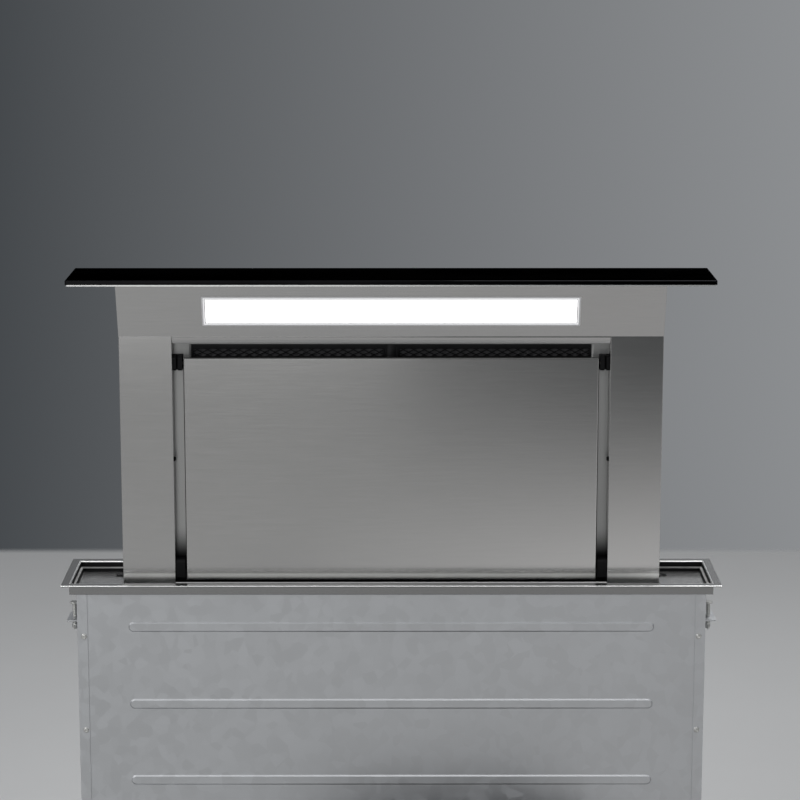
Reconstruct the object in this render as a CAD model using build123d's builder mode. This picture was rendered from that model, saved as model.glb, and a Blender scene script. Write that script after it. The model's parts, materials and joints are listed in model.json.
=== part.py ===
"""Retractable downdraft vent: a steel column with a lamp head and a glass lid that rises out of a
worktop tray, its folded steel casing, belt lift and fan unit. Millimetres, +Z up, front towards -Y.
The origin is the middle of the footprint, at the floor. It is drawn with the column raised."""
import os
from math import atan2, cos, sin
from build123d import *

# ---- worktop and tray ----
worktop_height = 700.0
tray_width = 900.0
tray_depth = 140.0
flange_width = 12.0
flange_thick = 1.2
tape_thick = 0.8
tape_margin = 1.0
tray_wall = 1.5
recess_depth = 14.0
floor_thick = 1.2
ridge_width = 3.5
seal_thick = 1.2
seal_drop = 8.3
notch_reach = 14.0
notch_depth = 10.0
notch_back = 19.0

# ---- glass lid and its carrier ----
lift_travel = 418.0
lid_gap = 2.0
lid_thick = 6.0
lid_corner = 2.0
lid_bevel = 0.6
flange_bevel = 0.4
carrier_thick = 2.0
carrier_inset = 1.0

# ---- column ----
column_inset = 81.0
column_depth = 70.0
column_setback = 44.0
column_tail = 130.0
foot_height = 12.0
foot_wall = 10.0
skin = 1.5
fold_radius = 0.75
pillar_width = 72.0
pillar_return = 20.0
passage_gap = 3.0
passage_back_gap = 2.0

# ---- lamp head ----
head_height = 73.0
head_lean = 28.0
lamp_length = 500.0
lamp_height = 36.0
lamp_rise = 39.5
bezel_rim = 2.5
bezel_proud = 0.6
bezel_wall = 0.8
bezel_reach = 8.0
diffuser_thick = 3.0
diffuser_gap = 0.2
diffuser_inset = 0.3
led_margin = 5.0
led_thick = 1.6
led_count = 24
led_size = 5.0
led_rise = 0.8

# ---- front panel and the suction frame behind it ----
panel_side_gap = 15.0
panel_top_gap = 19.0
panel_height = 311.0
panel_thick = 12.0
panel_edge_radius = 2.2
panel_core_gap = 0.2
pivot_rise = 10.0
pivot_setback = 8.0
pin_radius = 3.0
pin_length = 9.0
running_gap = 0.05
hinge_gap = 3.0
hinge_thick = 5.0
sill_gap = 3.5
sill_thick = 7.5
cove_height = 10.4
cove_depth = 8.0
frame_setback = 22.0
frame_border = 22.0
frame_foot_border = 14.0
frame_head_border = 5.0
mullion_width = 12.0
filter_thick = 12.0
filter_lip = 6.0
filter_rim = 10.0
filter_slot_width = 18.0
filter_slot_height = 6.0
filter_slot_pitch_x = 24.0
filter_slot_pitch_z = 12.0
filter_edge_gap = 6.0
catch_upper_height = 20.0
catch_upper_width = 9.0
catch_upper_drop = 15.0
catch_lower_height = 12.0
catch_lower_width = 2.5
catch_lower_rise = 159.0
catch_depth = 7.0
catch_setback = 6.0

# ---- casing under the worktop ----
casing_inset = 20.0
casing_margin = 13.0
casing_sheet = 1.2
casing_fold = 14.0
base_height = 30.0
base_upstand = 18.0
port_radius = 80.0
fixing_hole_radius = 2.75
fixing_setback = 17.0
fixing_heights = (200.0, 600.0)
screw_radius = 2.0
screw_head_radius = 4.0
screw_head_height = 2.0
screw_head_taper = 20.0
screw_length = 6.0
screw_rows = 5
screw_inset = 9.0
screw_end_gap = 60.0
bead_width = 14.0
bead_height = 1.8
bead_taper = 45.0
bead_end_gap = 70.0
back_bead_heights = (160.0, 280.0, 400.0, 520.0, 640.0)
front_bead_heights = (420.0, 530.0, 640.0)
foot_pad_radius = 17.0
foot_pad_height = 6.0
foot_stem_radius = 4.0
foot_stem_top = 50.0
foot_nut_height = 6.0
foot_nut_radius = 7.5
foot_inset_x = 50.0
foot_inset_y = 26.0
worktop_slab = 40.0
clamp_depth = 40.0
clamp_reach = 17.0
clamp_sheet = 2.0
clamp_leg = 46.0
clamp_screw_radius = 3.0
clamp_screw_length = 36.0
clamp_pad_radius = 6.0
clamp_pad_height = 3.0
clearance = 0.3

# ---- lift: rails, belts, shaft and motor ----
rail_width = 30.0
rail_depth = 14.0
rail_wall = 2.0
rail_setback = 57.0
rail_head_gap = 12.0
shoe_gap = 0.4
shoe_length = 80.0
carriage_plate = 4.0
carriage_height = 92.0
carriage_arm = 20.0
belt_width = 10.0
belt_thick = 2.0
belt_inset = 39.8
pulley_radius = 11.7
pulley_flange_radius = 15.5
pulley_flange = 1.0
belt_play = 0.3
shaft_radius = 5.0
shaft_height = 95.0
shaft_setback = 92.0
shaft_end_gap = 16.8
bearing_thick = 12.0
bearing_width = 30.0
idler_drop = 40.0
idler_axle_radius = 4.0
idler_cheek = 2.0
idler_cheek_gap = 1.0
idler_cheek_width = 24.0
clamp_block_height = 30.0
clamp_block_wall = 3.0
gearbox_x = 90.0
gearbox_width = 30.0
gearbox_height = 98.0
gearbox_margin = 2.0
gearbox_radius = 10.0
motor_radius = 24.0
motor_edge = 4.0
motor_length = 110.0
motor_setback = 35.0
motor_height = 75.0
sensor_width = 20.0
sensor_height = 12.0
sensor_lever = 2.0
sensor_lever_rise = 4.0
sensor_lever_width = 10.0
sensor_lever_thick = 2.0

# ---- fan unit in front of the casing ----
fan_height = 195.0
ring_depth = 12.0
ring_wall = 3.0
ring_flange = 14.0
scroll_start_radius = 128.0
scroll_step = 12.0
scroll_depth = 140.0
scroll_wall = 2.5
scroll_reach = 210.0
scroll_mouth = 150.0
scroll_rim = 5.0
scroll_rim_thick = 2.0
inlet_radius = 76.0
cover_thick = 2.0
motor_body_radius = 55.0
motor_body_depth = 35.0
motor_body_edge = 7.0
motor_neck_radius = 30.0
motor_neck_depth = 8.0
motor_shaft_radius = 5.0
motor_shaft_length = 28.0
impeller_radius = 108.0
impeller_length = 98.0
impeller_gap = 7.0
impeller_disc = 2.0
impeller_ring = 4.0
impeller_hub_radius = 16.0
impeller_hub_length = 16.0
blade_count = 36
blade_chord = 13.0
blade_thick = 1.5
blade_angle = 32.0
duct_radius = 75.0
duct_wall = 2.0
duct_length = 60.0
duct_flange = 4.0
duct_lip = 4.0
flap_gap = 1.0
flap_thick = 1.5
flap_pin_radius = 2.0
flap_barrel = 1.5
flap_barrel_gap = 1.0
flap_knuckle = 36.0
flap_setback = 26.0
stand_width = 180.0
stand_height = 100.0
stand_sheet = 2.0
stand_inset = 12.0

# ---- control box ----
control_inset = 130.0
control_width = 180.0
control_height = 170.0
control_bottom = 130.0
control_depth = 40.0
control_wall = 2.0
gland_radius = 9.0
gland_length = 18.0
gland_bore = 4.0
gland_flats = 12.0
gland_nut = 6.0

# ---- worked out from the sizes above: heights ----
idler_height = worktop_height - idler_drop
tape_top = worktop_height + tape_thick
flange_top = tape_top + flange_thick
recess_floor = flange_top - recess_depth
casing_top = recess_floor - floor_thick
seal_top = flange_top - seal_drop
ridge_top = seal_top - seal_thick
lid_top = flange_top + lift_travel
lid_bottom = lid_top - lid_thick
head_top = lid_bottom - carrier_thick
column_top = head_top - head_height
column_bottom = worktop_height - column_tail
foot_bottom = column_bottom - foot_height
rail_foot = foot_bottom - lift_travel
cove_bottom = column_top - cove_height
panel_top = cove_bottom - panel_top_gap
panel_bottom = panel_top - panel_height
sill_top = panel_bottom - sill_gap
sill_bottom = sill_top - sill_thick
pivot_z = panel_bottom + pivot_rise
ledge_top = sill_top + filter_edge_gap
base_top = base_height + casing_sheet
clamp_plane = worktop_height - worktop_slab

# ---- worked out: widths ----
column_width = tray_width - 2 * column_inset
casing_width = tray_width - 2 * casing_inset
foot_spacing_x = casing_width - 2 * foot_inset_x
led_length = lamp_length - 2 * led_margin
led_height = lamp_height - 2 * led_margin
tray_inner_width = tray_width - 2 * flange_width
tray_inner_depth = tray_depth - 2 * flange_width
column_half = column_width / 2
pillar_inner = column_half - pillar_width
panel_half = pillar_inner - panel_side_gap
casing_half = casing_width / 2
casing_inner = casing_half - casing_sheet
passage_half = column_half + passage_gap
rail_front = casing_inner - rail_depth
belt_x = casing_inner - belt_inset
belt_inner = belt_x - belt_width / 2
belt_outer = belt_x + belt_width / 2
shaft_half = casing_inner - shaft_end_gap
arm_end = rail_front + rail_wall
control_x = control_inset - casing_half

# ---- worked out: depths, from the front of the object to its back ----
casing_depth = tray_depth - 2 * casing_margin
foot_spacing_y = casing_depth - 2 * foot_inset_y
fan_reach = ring_depth + scroll_depth + cover_thick + motor_body_depth
overall_depth = tray_depth - casing_margin - casing_sheet + fan_reach
tray_back = overall_depth / 2
tray_front = tray_back - tray_depth
tray_mid = tray_back - tray_depth / 2
inner_front = tray_front + flange_width
inner_back = tray_back - flange_width
column_front = tray_front + column_setback
column_back = column_front + column_depth
casing_front_face = tray_front + casing_margin
casing_back_face = tray_back - casing_margin
front_plate = casing_front_face + casing_sheet
front_inner = front_plate + casing_sheet
back_plate = casing_back_face - casing_sheet
back_inner = back_plate - casing_sheet
passage_front = inner_front + ridge_width
passage_back = column_back + passage_back_gap
panel_back = column_front + panel_thick
pivot_y = column_front + pivot_setback
frame_front = column_front + frame_setback
frame_back = frame_front + skin
ledge_back = frame_back + filter_thick
skin_front = column_back - skin
rail_y = casing_front_face + rail_setback
shaft_y = casing_front_face + shaft_setback
belt_inside = pulley_radius + belt_play
belt_outside = belt_inside + belt_thick
scroll_rear = front_plate - ring_depth
scroll_front = scroll_rear - scroll_depth
scroll_mid = (scroll_rear + scroll_front) / 2
cover_front = scroll_front - cover_thick

# ---- worked out: the slope of the lamp head ----
head_slope = atan2(head_lean, head_height)
head_plane = Plane(
    origin=(0, column_front - lamp_rise * sin(head_slope), column_top + lamp_rise * cos(head_slope)),
    x_dir=(1, 0, 0),
    z_dir=(0, -cos(head_slope), -sin(head_slope)),
)

os.makedirs("parts", exist_ok=True)


def save(piece, node):
    piece.part.label = node
    export_step(piece.part, "parts/" + node + ".step")


def slab(x, y, z, mode=Mode.ADD):
    """A block between two X, two Y and two Z values."""
    with Locations(((x[0] + x[1]) / 2, (y[0] + y[1]) / 2, (z[0] + z[1]) / 2)):
        Box(x[1] - x[0], y[1] - y[0], z[1] - z[0], mode=mode)


def both_sides(inner, outer):
    """The same stretch of X on the left and on the right."""
    return ((-outer, -inner), (inner, outer))


# ======================= worktop tray =======================

def make_tray_frame():
    with BuildPart() as tray_frame:
        with BuildSketch(Plane.XY.offset(tape_top)):
            with Locations((0, tray_mid)):
                Rectangle(tray_width, tray_depth)
                Rectangle(tray_inner_width, tray_inner_depth, mode=Mode.SUBTRACT)
        extrude(amount=flange_thick)
        with BuildSketch(Plane.XY.offset(casing_top)):
            with Locations((0, tray_mid)):
                Rectangle(tray_inner_width + 2 * tray_wall, tray_inner_depth + 2 * tray_wall)
                Rectangle(tray_inner_width, tray_inner_depth, mode=Mode.SUBTRACT)
        extrude(amount=tape_top - casing_top)
        outer_edges = tray_frame.faces().sort_by(Axis.Z)[-1].outer_wire().edges()
        chamfer(outer_edges, flange_bevel)
    save(tray_frame, "tray_frame")


def make_tray_floor():
    notch_rear = inner_back - notch_back
    with BuildPart() as tray_floor:
        with BuildSketch(Plane.XY.offset(casing_top)):
            with Locations((0, tray_mid)):
                Rectangle(tray_inner_width, tray_inner_depth)
        extrude(amount=floor_thick)
        with BuildSketch(Plane.XY.offset(recess_floor)):
            with Locations((0, tray_mid)):
                Rectangle(tray_inner_width, tray_inner_depth)
                Rectangle(
                    tray_inner_width - 2 * ridge_width,
                    tray_inner_depth - 2 * ridge_width,
                    mode=Mode.SUBTRACT,
                )
        extrude(amount=ridge_top - recess_floor)
        floor_span = (casing_top, recess_floor)
        slab((-passage_half, passage_half), (passage_front, passage_back), floor_span, Mode.SUBTRACT)
        for x in both_sides(passage_half, column_half + notch_reach):
            slab(x, (notch_rear - notch_depth, notch_rear), floor_span, Mode.SUBTRACT)
    save(tray_floor, "tray_floor")


def make_tray_seal():
    with BuildPart() as tray_seal:
        with BuildSketch(Plane.XY.offset(ridge_top)):
            with Locations((0, tray_mid)):
                Rectangle(tray_inner_width, tray_inner_depth)
                Rectangle(
                    tray_inner_width - 2 * ridge_width,
                    tray_inner_depth - 2 * ridge_width,
                    mode=Mode.SUBTRACT,
                )
        extrude(amount=seal_thick)
    save(tray_seal, "tray_seal")


def make_worktop_tape():
    with BuildPart() as worktop_tape:
        with BuildSketch(Plane.XY.offset(worktop_height)):
            with Locations((0, tray_mid)):
                Rectangle(tray_width - 2 * tape_margin, tray_depth - 2 * tape_margin)
                Rectangle(
                    tray_inner_width + 2 * tray_wall,
                    tray_inner_depth + 2 * tray_wall,
                    mode=Mode.SUBTRACT,
                )
        extrude(amount=tape_thick)
    save(worktop_tape, "worktop_tape")


# ======================= casing =======================

def screw_heights():
    low = base_height + screw_end_gap
    high = casing_top - screw_end_gap
    return [low + (high - low) * row / (screw_rows - 1) for row in range(screw_rows)]


def screw_places():
    """X and Z of the sheet screws, down both edges of the front and back plates."""
    x = casing_half - screw_inset
    return [(side * x, z) for side in (-1, 1) for z in screw_heights()]


def cut_screw_holes(y):
    """Screw holes through a sheet that starts at y."""
    with BuildSketch(Plane.XZ.offset(-y)) as holes:
        with Locations(*screw_places()):
            Circle(screw_radius)
    extrude(holes.sketch, amount=-casing_sheet, mode=Mode.SUBTRACT)


def press_beads(heights, face, inside):
    """Pressed stiffening beads across a plate: proud on its outer face and hollow behind."""
    length = casing_width - 2 * bead_end_gap
    hollow_width = bead_width - casing_sheet
    outward = 1 if face > inside else -1
    for start, width, mode in ((face, bead_width, Mode.ADD), (inside, hollow_width, Mode.SUBTRACT)):
        with BuildSketch(Plane(origin=(0, start, 0), x_dir=(1, 0, 0), z_dir=(0, outward, 0))) as beads:
            with Locations(*[(0, -outward * z) for z in heights]):
                SlotOverall(length - (bead_width - width), width)
        extrude(beads.sketch, amount=bead_height, taper=bead_taper, mode=mode)


def make_casing_plates():
    plate_z = (base_height, casing_top)
    with BuildPart() as casing_back:
        slab((-casing_inner, casing_inner), (back_inner, back_plate), plate_z)
        cut_screw_holes(back_inner)
        press_beads(back_bead_heights, back_plate, back_inner)
    save(casing_back, "casing_back")

    with BuildPart() as casing_front:
        slab((-casing_inner, casing_inner), (front_plate, front_inner), plate_z)
        cut_screw_holes(front_plate)
        press_beads(front_bead_heights, front_plate, front_inner)
        with BuildSketch(Plane.XZ.offset(-front_plate)):
            with Locations((0, fan_height)):
                Circle(port_radius)
        extrude(amount=-casing_sheet, mode=Mode.SUBTRACT)
    save(casing_front, "casing_front")


def make_casing_side(side, node):
    outer = side * casing_half
    inner = side * casing_inner
    fold = side * (casing_half - casing_fold)
    wall_x = (min(outer, inner), max(outer, inner))
    fold_x = (min(outer, fold), max(outer, fold))
    side_z = (base_height, casing_top)
    with BuildPart() as casing_side:
        slab(wall_x, (casing_front_face, casing_back_face), side_z)
        slab(fold_x, (casing_front_face, front_plate), side_z)
        slab(fold_x, (back_plate, casing_back_face), side_z)
        cut_screw_holes(casing_front_face)
        cut_screw_holes(back_plate)
        hole_y = casing_front_face + fixing_setback
        with BuildSketch(Plane.YZ.offset(min(outer, inner))):
            with Locations(*[(hole_y, z) for z in fixing_heights]):
                Circle(fixing_hole_radius)
        extrude(amount=casing_sheet, mode=Mode.SUBTRACT)
    save(casing_side, node)


def foot_places():
    x = foot_spacing_x / 2
    y = foot_spacing_y / 2
    return [(i * x, tray_mid + j * y) for i in (-1, 1) for j in (-1, 1)]


def make_casing_base():
    with BuildPart() as casing_base:
        base_z = (base_height, base_height + base_upstand)
        slab((-casing_inner, casing_inner), (front_inner, back_inner), base_z)
        pan_x = casing_inner - casing_sheet
        pan_y = (front_inner + casing_sheet, back_inner - casing_sheet)
        slab((-pan_x, pan_x), pan_y, (base_top, base_height + base_upstand), Mode.SUBTRACT)
        with BuildSketch(Plane.XY.offset(base_height)):
            with Locations(*foot_places()):
                Circle(foot_stem_radius)
        extrude(amount=casing_sheet, mode=Mode.SUBTRACT)
    save(casing_base, "casing_base")


def make_casing_screws():
    with BuildPart() as casing_screws:
        for face, direction in ((casing_front_face, -1), (casing_back_face, 1)):
            for x, z in screw_places():
                seat = Plane(origin=(x, face, z), z_dir=(0, direction, 0))
                with BuildSketch(seat):
                    Circle(screw_head_radius)
                extrude(amount=screw_head_height, taper=screw_head_taper)
                with BuildSketch(seat):
                    Circle(screw_radius)
                extrude(amount=-screw_length)
    save(casing_screws, "casing_screws")


def make_levelling_feet():
    nut_top = base_height
    nut_bottom = base_height - foot_nut_height
    with BuildPart() as levelling_feet:
        for x, y in foot_places():
            with BuildSketch(Plane.XY):
                with Locations((x, y)):
                    Circle(foot_pad_radius)
            extrude(amount=foot_pad_height)
            with BuildSketch(Plane.XY.offset(foot_pad_height)):
                with Locations((x, y)):
                    Circle(foot_stem_radius)
            extrude(amount=foot_stem_top - foot_pad_height)
            with BuildSketch(Plane.XY.offset(nut_bottom)):
                with Locations((x, y)):
                    RegularPolygon(foot_nut_radius, 6)
            extrude(amount=nut_top - nut_bottom)
    save(levelling_feet, "levelling_feet")


def make_worktop_clamps():
    leg_bottom = clamp_plane - clamp_leg / 2
    arm_z = (leg_bottom, leg_bottom + clamp_sheet)
    clamp_y = (tray_mid - clamp_depth / 2, tray_mid + clamp_depth / 2)
    screw_x = casing_half + clamp_sheet + clamp_reach / 2
    with BuildPart() as worktop_clamps:
        for x in both_sides(casing_half, casing_half + clamp_sheet):
            slab(x, clamp_y, (leg_bottom, leg_bottom + clamp_leg))
        for x in both_sides(casing_half, casing_half + clamp_sheet + clamp_reach):
            slab(x, clamp_y, arm_z)
        with BuildSketch(Plane.XY.offset(leg_bottom)):
            with Locations((-screw_x, tray_mid), (screw_x, tray_mid)):
                Circle(clamp_screw_radius)
        extrude(amount=clamp_sheet, mode=Mode.SUBTRACT)
    save(worktop_clamps, "worktop_clamps")

    pad_bottom = clamp_plane - clamp_pad_height
    with BuildPart() as clamp_screws:
        for x in (-screw_x, screw_x):
            with BuildSketch(Plane.XY.offset(pad_bottom)):
                with Locations((x, tray_mid)):
                    Circle(clamp_pad_radius)
            extrude(amount=clamp_pad_height)
            with BuildSketch(Plane.XY.offset(pad_bottom)):
                with Locations((x, tray_mid)):
                    Circle(clamp_screw_radius)
            extrude(amount=-clamp_screw_length)
    save(clamp_screws, "clamp_screws")


# ======================= column =======================

def make_pillar(side, node):
    column_z = column_top - column_bottom
    outer = side * column_half
    inner = side * pillar_inner
    with BuildPart() as pillar:
        with BuildSketch(Plane.XY.offset(column_bottom)):
            with BuildLine():
                Polyline(
                    (outer, skin_front),
                    (outer, column_front),
                    (inner, column_front),
                    (inner, column_front + pillar_return),
                    (inner + side * skin, column_front + pillar_return),
                    (inner + side * skin, column_front + skin),
                    (outer - side * skin, column_front + skin),
                    (outer - side * skin, skin_front),
                    close=True,
                )
            make_face()
        extrude(amount=column_z)
        corners = pillar.edges().filter_by(Axis.Z).group_by(Axis.Y)[0]
        fillet(corners, fold_radius)
    save(pillar, node)


def make_column_skins():
    with BuildPart() as rear_skin:
        slab((-column_half, column_half), (skin_front, column_back), (column_bottom, column_top))
    save(rear_skin, "rear_skin")

    with BuildPart() as lower_skin:
        lower_z = (column_bottom, sill_bottom)
        slab((-pillar_inner, pillar_inner), (column_front, column_front + skin), lower_z)
    save(lower_skin, "lower_skin")


def make_column_foot():
    with BuildPart() as column_foot:
        with BuildSketch(Plane.XY.offset(foot_bottom)):
            with Locations((0, column_front + column_depth / 2)):
                Rectangle(column_width, column_depth)
                Rectangle(column_width - 2 * foot_wall, column_depth - 2 * foot_wall, mode=Mode.SUBTRACT)
        extrude(amount=foot_height)
    save(column_foot, "column_foot")


def make_column_sill():
    with BuildPart() as column_sill:
        slab((-pillar_inner, pillar_inner), (column_front, frame_back), (sill_bottom, sill_top))
        slab((-pillar_inner, pillar_inner), (frame_back, ledge_back), (sill_bottom, ledge_top))
        front_edges = column_sill.edges().filter_by(Axis.X).group_by(Axis.Y)[0]
        fillet(front_edges, skin)
    save(column_sill, "column_sill")


def make_top_rail():
    rail_plane = Plane.YZ.offset(-pillar_inner)
    cove_start = (column_front, column_top)
    cove_end = (column_front + cove_depth, cove_bottom)
    with BuildPart() as top_rail:
        with BuildSketch(rail_plane):
            with BuildLine():
                Line(cove_start, (column_front, column_top - skin))
                RadiusArc((column_front, column_top - skin), cove_end, cove_height + cove_depth)
                Line(cove_end, (frame_back, cove_bottom))
                Line((frame_back, cove_bottom), (frame_back, column_top - skin))
                Line((frame_back, column_top - skin), (skin_front, column_top - skin))
                Line((skin_front, column_top - skin), (skin_front, column_top))
                Line((skin_front, column_top), cove_start)
            make_face()
        extrude(amount=2 * pillar_inner)
    save(top_rail, "top_rail")


def make_filter_frame():
    opening_half = pillar_inner - frame_border
    opening_low = sill_top + frame_foot_border
    opening_high = cove_bottom - frame_head_border
    with BuildPart() as filter_frame:
        slab((-pillar_inner, pillar_inner), (frame_front, frame_back), (sill_top, cove_bottom))
        for x in both_sides(mullion_width / 2, opening_half):
            slab(x, (frame_front, frame_back), (opening_low, opening_high), Mode.SUBTRACT)
    save(filter_frame, "filter_frame")


def make_filter(side, node):
    near = mullion_width / 2 - filter_lip + clearance
    far = pillar_inner - frame_border + filter_lip
    width = far - near
    low = ledge_top
    high = cove_bottom - clearance
    height = high - low
    mid_x = side * (near + far) / 2
    mid_z = (low + high) / 2
    columns = int((width - 2 * filter_rim) / filter_slot_pitch_x)
    rows = int((height - 2 * filter_rim) / filter_slot_pitch_z)
    with BuildPart() as grease_filter:
        with BuildSketch(Plane(origin=(mid_x, frame_back, mid_z), x_dir=(1, 0, 0), z_dir=(0, 1, 0))):
            Rectangle(width, height)
            with GridLocations(filter_slot_pitch_x, filter_slot_pitch_z, columns, rows):
                SlotOverall(filter_slot_width, filter_slot_height, mode=Mode.SUBTRACT)
        extrude(amount=filter_thick)
        rim = grease_filter.faces().sort_by(Axis.Y)[0].outer_wire().edges()
        chamfer(rim, fold_radius)
    save(grease_filter, node)


def make_head_shell():
    front_cut = skin / cos(head_slope)
    with BuildPart() as head_shell:
        with BuildSketch(Plane.YZ.offset(-column_half)):
            with BuildLine():
                Polyline(
                    (column_front, column_top),
                    (column_front - head_lean, head_top),
                    (column_back, head_top),
                    (column_back, column_top),
                    close=True,
                )
            make_face()
        extrude(amount=column_width)
        with BuildSketch(Plane.YZ.offset(-column_half + skin)):
            with BuildLine():
                Polyline(
                    (column_front + front_cut, column_top),
                    (column_front - head_lean + front_cut, head_top),
                    (column_back - skin, head_top),
                    (column_back - skin, column_top),
                    close=True,
                )
            make_face()
        extrude(amount=column_width - 2 * skin, mode=Mode.SUBTRACT)
        with BuildSketch(head_plane):
            Rectangle(lamp_length + 2 * bezel_wall, lamp_height + 2 * bezel_wall)
        extrude(amount=-2 * skin, mode=Mode.SUBTRACT)
    save(head_shell, "head_shell")


def make_lamp():
    with BuildPart() as lamp_bezel:
        with BuildSketch(head_plane):
            Rectangle(lamp_length + 2 * bezel_rim, lamp_height + 2 * bezel_rim)
            Rectangle(lamp_length, lamp_height, mode=Mode.SUBTRACT)
        extrude(amount=bezel_proud)
        with BuildSketch(head_plane):
            Rectangle(lamp_length + 2 * bezel_wall, lamp_height + 2 * bezel_wall)
            Rectangle(lamp_length, lamp_height, mode=Mode.SUBTRACT)
        extrude(amount=-bezel_reach)
    save(lamp_bezel, "lamp_bezel")

    with BuildPart() as lamp_diffuser:
        with BuildSketch(head_plane.offset(bezel_proud - diffuser_inset)):
            Rectangle(lamp_length - 2 * diffuser_gap, lamp_height - 2 * diffuser_gap)
        extrude(amount=-diffuser_thick)
    save(lamp_diffuser, "lamp_diffuser")

    with BuildPart() as led_board:
        with BuildSketch(head_plane.offset(-bezel_reach)):
            Rectangle(lamp_length + 2 * bezel_rim, lamp_height + 2 * bezel_rim)
        extrude(amount=-led_thick)
        with BuildSketch(head_plane.offset(-bezel_reach)):
            Rectangle(led_length, led_height)
        extrude(amount=led_rise)
        with BuildSketch(head_plane.offset(-bezel_reach + led_rise)):
            with GridLocations(led_length / led_count, led_height / 2, led_count, 2):
                Rectangle(led_size, led_size)
        extrude(amount=led_rise)
    save(led_board, "led_board")


def make_lid():
    lid_width = tray_inner_width - 2 * lid_gap
    lid_depth = tray_inner_depth - 2 * lid_gap
    with BuildPart() as cover_plate:
        with BuildSketch(Plane.XY.offset(head_top)):
            with Locations((0, tray_mid)):
                RectangleRounded(lid_width - 2 * carrier_inset, lid_depth - 2 * carrier_inset, lid_corner)
        extrude(amount=carrier_thick)
    save(cover_plate, "cover_plate")

    with BuildPart() as glass_lid:
        with BuildSketch(Plane.XY.offset(lid_bottom)):
            with Locations((0, tray_mid)):
                RectangleRounded(lid_width, lid_depth, lid_corner)
        extrude(amount=lid_thick)
        chamfer(glass_lid.faces().sort_by(Axis.Z)[-1].outer_wire().edges(), lid_bevel)
    save(glass_lid, "glass_lid")


def make_panel_catches():
    catch_y = (column_front + catch_setback, column_front + catch_setback + catch_depth)
    upper_z = (panel_top - catch_upper_drop, panel_top - catch_upper_drop + catch_upper_height)
    lower_z = (flange_top + catch_lower_rise, flange_top + catch_lower_rise + catch_lower_height)
    with BuildPart() as panel_catches:
        for x in both_sides(pillar_inner - catch_upper_width, pillar_inner):
            slab(x, catch_y, upper_z)
        for x in both_sides(pillar_inner - catch_lower_width, pillar_inner):
            slab(x, catch_y, lower_z)
        fillet(panel_catches.edges().filter_by(Axis.Y), fold_radius)
    save(panel_catches, "panel_catches")


def make_hinge_brackets():
    half = pivot_setback - skin
    inner = panel_half + hinge_gap
    with BuildPart() as hinge_brackets:
        for start in (inner, -inner - hinge_thick):
            with BuildSketch(Plane.YZ.offset(start)):
                with Locations((pivot_y, (sill_top + pivot_z) / 2)):
                    Rectangle(2 * half, pivot_z - sill_top)
                with Locations((pivot_y, pivot_z)):
                    Circle(half)
                    Circle(pin_radius + running_gap, mode=Mode.SUBTRACT)
            extrude(amount=hinge_thick)
    save(hinge_brackets, "hinge_brackets")


# ======================= front panel =======================

def make_front_panel():
    with BuildPart() as front_panel:
        slab((-panel_half, panel_half), (column_front, panel_back), (panel_bottom, panel_top))
        fillet(front_panel.faces().sort_by(Axis.Y)[0].outer_wire().edges(), panel_edge_radius)
        hollow = panel_half - skin
        hollow_z = (panel_bottom + skin, panel_top - skin)
        slab((-hollow, hollow), (column_front + skin, panel_back), hollow_z, Mode.SUBTRACT)
    save(front_panel, "front_panel")

    core = panel_half - skin - panel_core_gap
    core_z = (panel_bottom + skin + panel_core_gap, panel_top - skin - panel_core_gap)
    with BuildPart() as panel_core:
        slab((-core, core), (column_front + skin, panel_back - skin), core_z)
        fillet(panel_core.faces().sort_by(Axis.Y)[0].outer_wire().edges(), panel_edge_radius - fold_radius)
    save(panel_core, "panel_core")

    with BuildPart() as hinge_pins:
        for start in (panel_half, -panel_half - pin_length):
            with BuildSketch(Plane.YZ.offset(start)):
                with Locations((pivot_y, pivot_z)):
                    Circle(pin_radius)
            extrude(amount=pin_length)
    save(hinge_pins, "hinge_pins")


# ======================= lift =======================

def make_guide_rails():
    low = rail_y - rail_width / 2
    high = rail_y + rail_width / 2
    rail_z = (rail_foot, casing_top - rail_head_gap)
    with BuildPart() as guide_rails:
        for x in both_sides(rail_front, casing_inner):
            slab(x, (low, high), rail_z)
        for x in both_sides(rail_front, casing_inner - rail_wall):
            slab(x, (low + rail_wall, high - rail_wall), rail_z, Mode.SUBTRACT)
    save(guide_rails, "guide_rails")


def make_carriages():
    arm_y = (rail_y - carriage_arm / 2, rail_y + carriage_arm / 2)
    plate_y = (column_front + foot_wall / 2, column_back - foot_wall / 2)
    carriage_z = (foot_bottom, foot_bottom + carriage_height)
    arm_z = (foot_bottom + foot_height, foot_bottom + carriage_height)
    with BuildPart() as carriages:
        for x in both_sides(column_half, column_half + carriage_plate):
            slab(x, plate_y, carriage_z)
        for x in both_sides(column_half, arm_end):
            slab(x, arm_y, arm_z)
        fillet(carriages.edges().filter_by(Axis.X).group_by(SortBy.LENGTH)[-1], carriage_plate)
    save(carriages, "carriages")

    shoe_half = rail_width / 2 - rail_wall - shoe_gap
    shoe_low = foot_bottom + foot_height
    with BuildPart() as guide_shoes:
        for x in both_sides(arm_end, casing_inner - rail_wall - shoe_gap):
            slab(x, (rail_y - shoe_half, rail_y + shoe_half), (shoe_low, shoe_low + shoe_length))
        fillet(guide_shoes.edges().filter_by(Axis.Y), carriage_plate / 2)
    save(guide_shoes, "guide_shoes")


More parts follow.
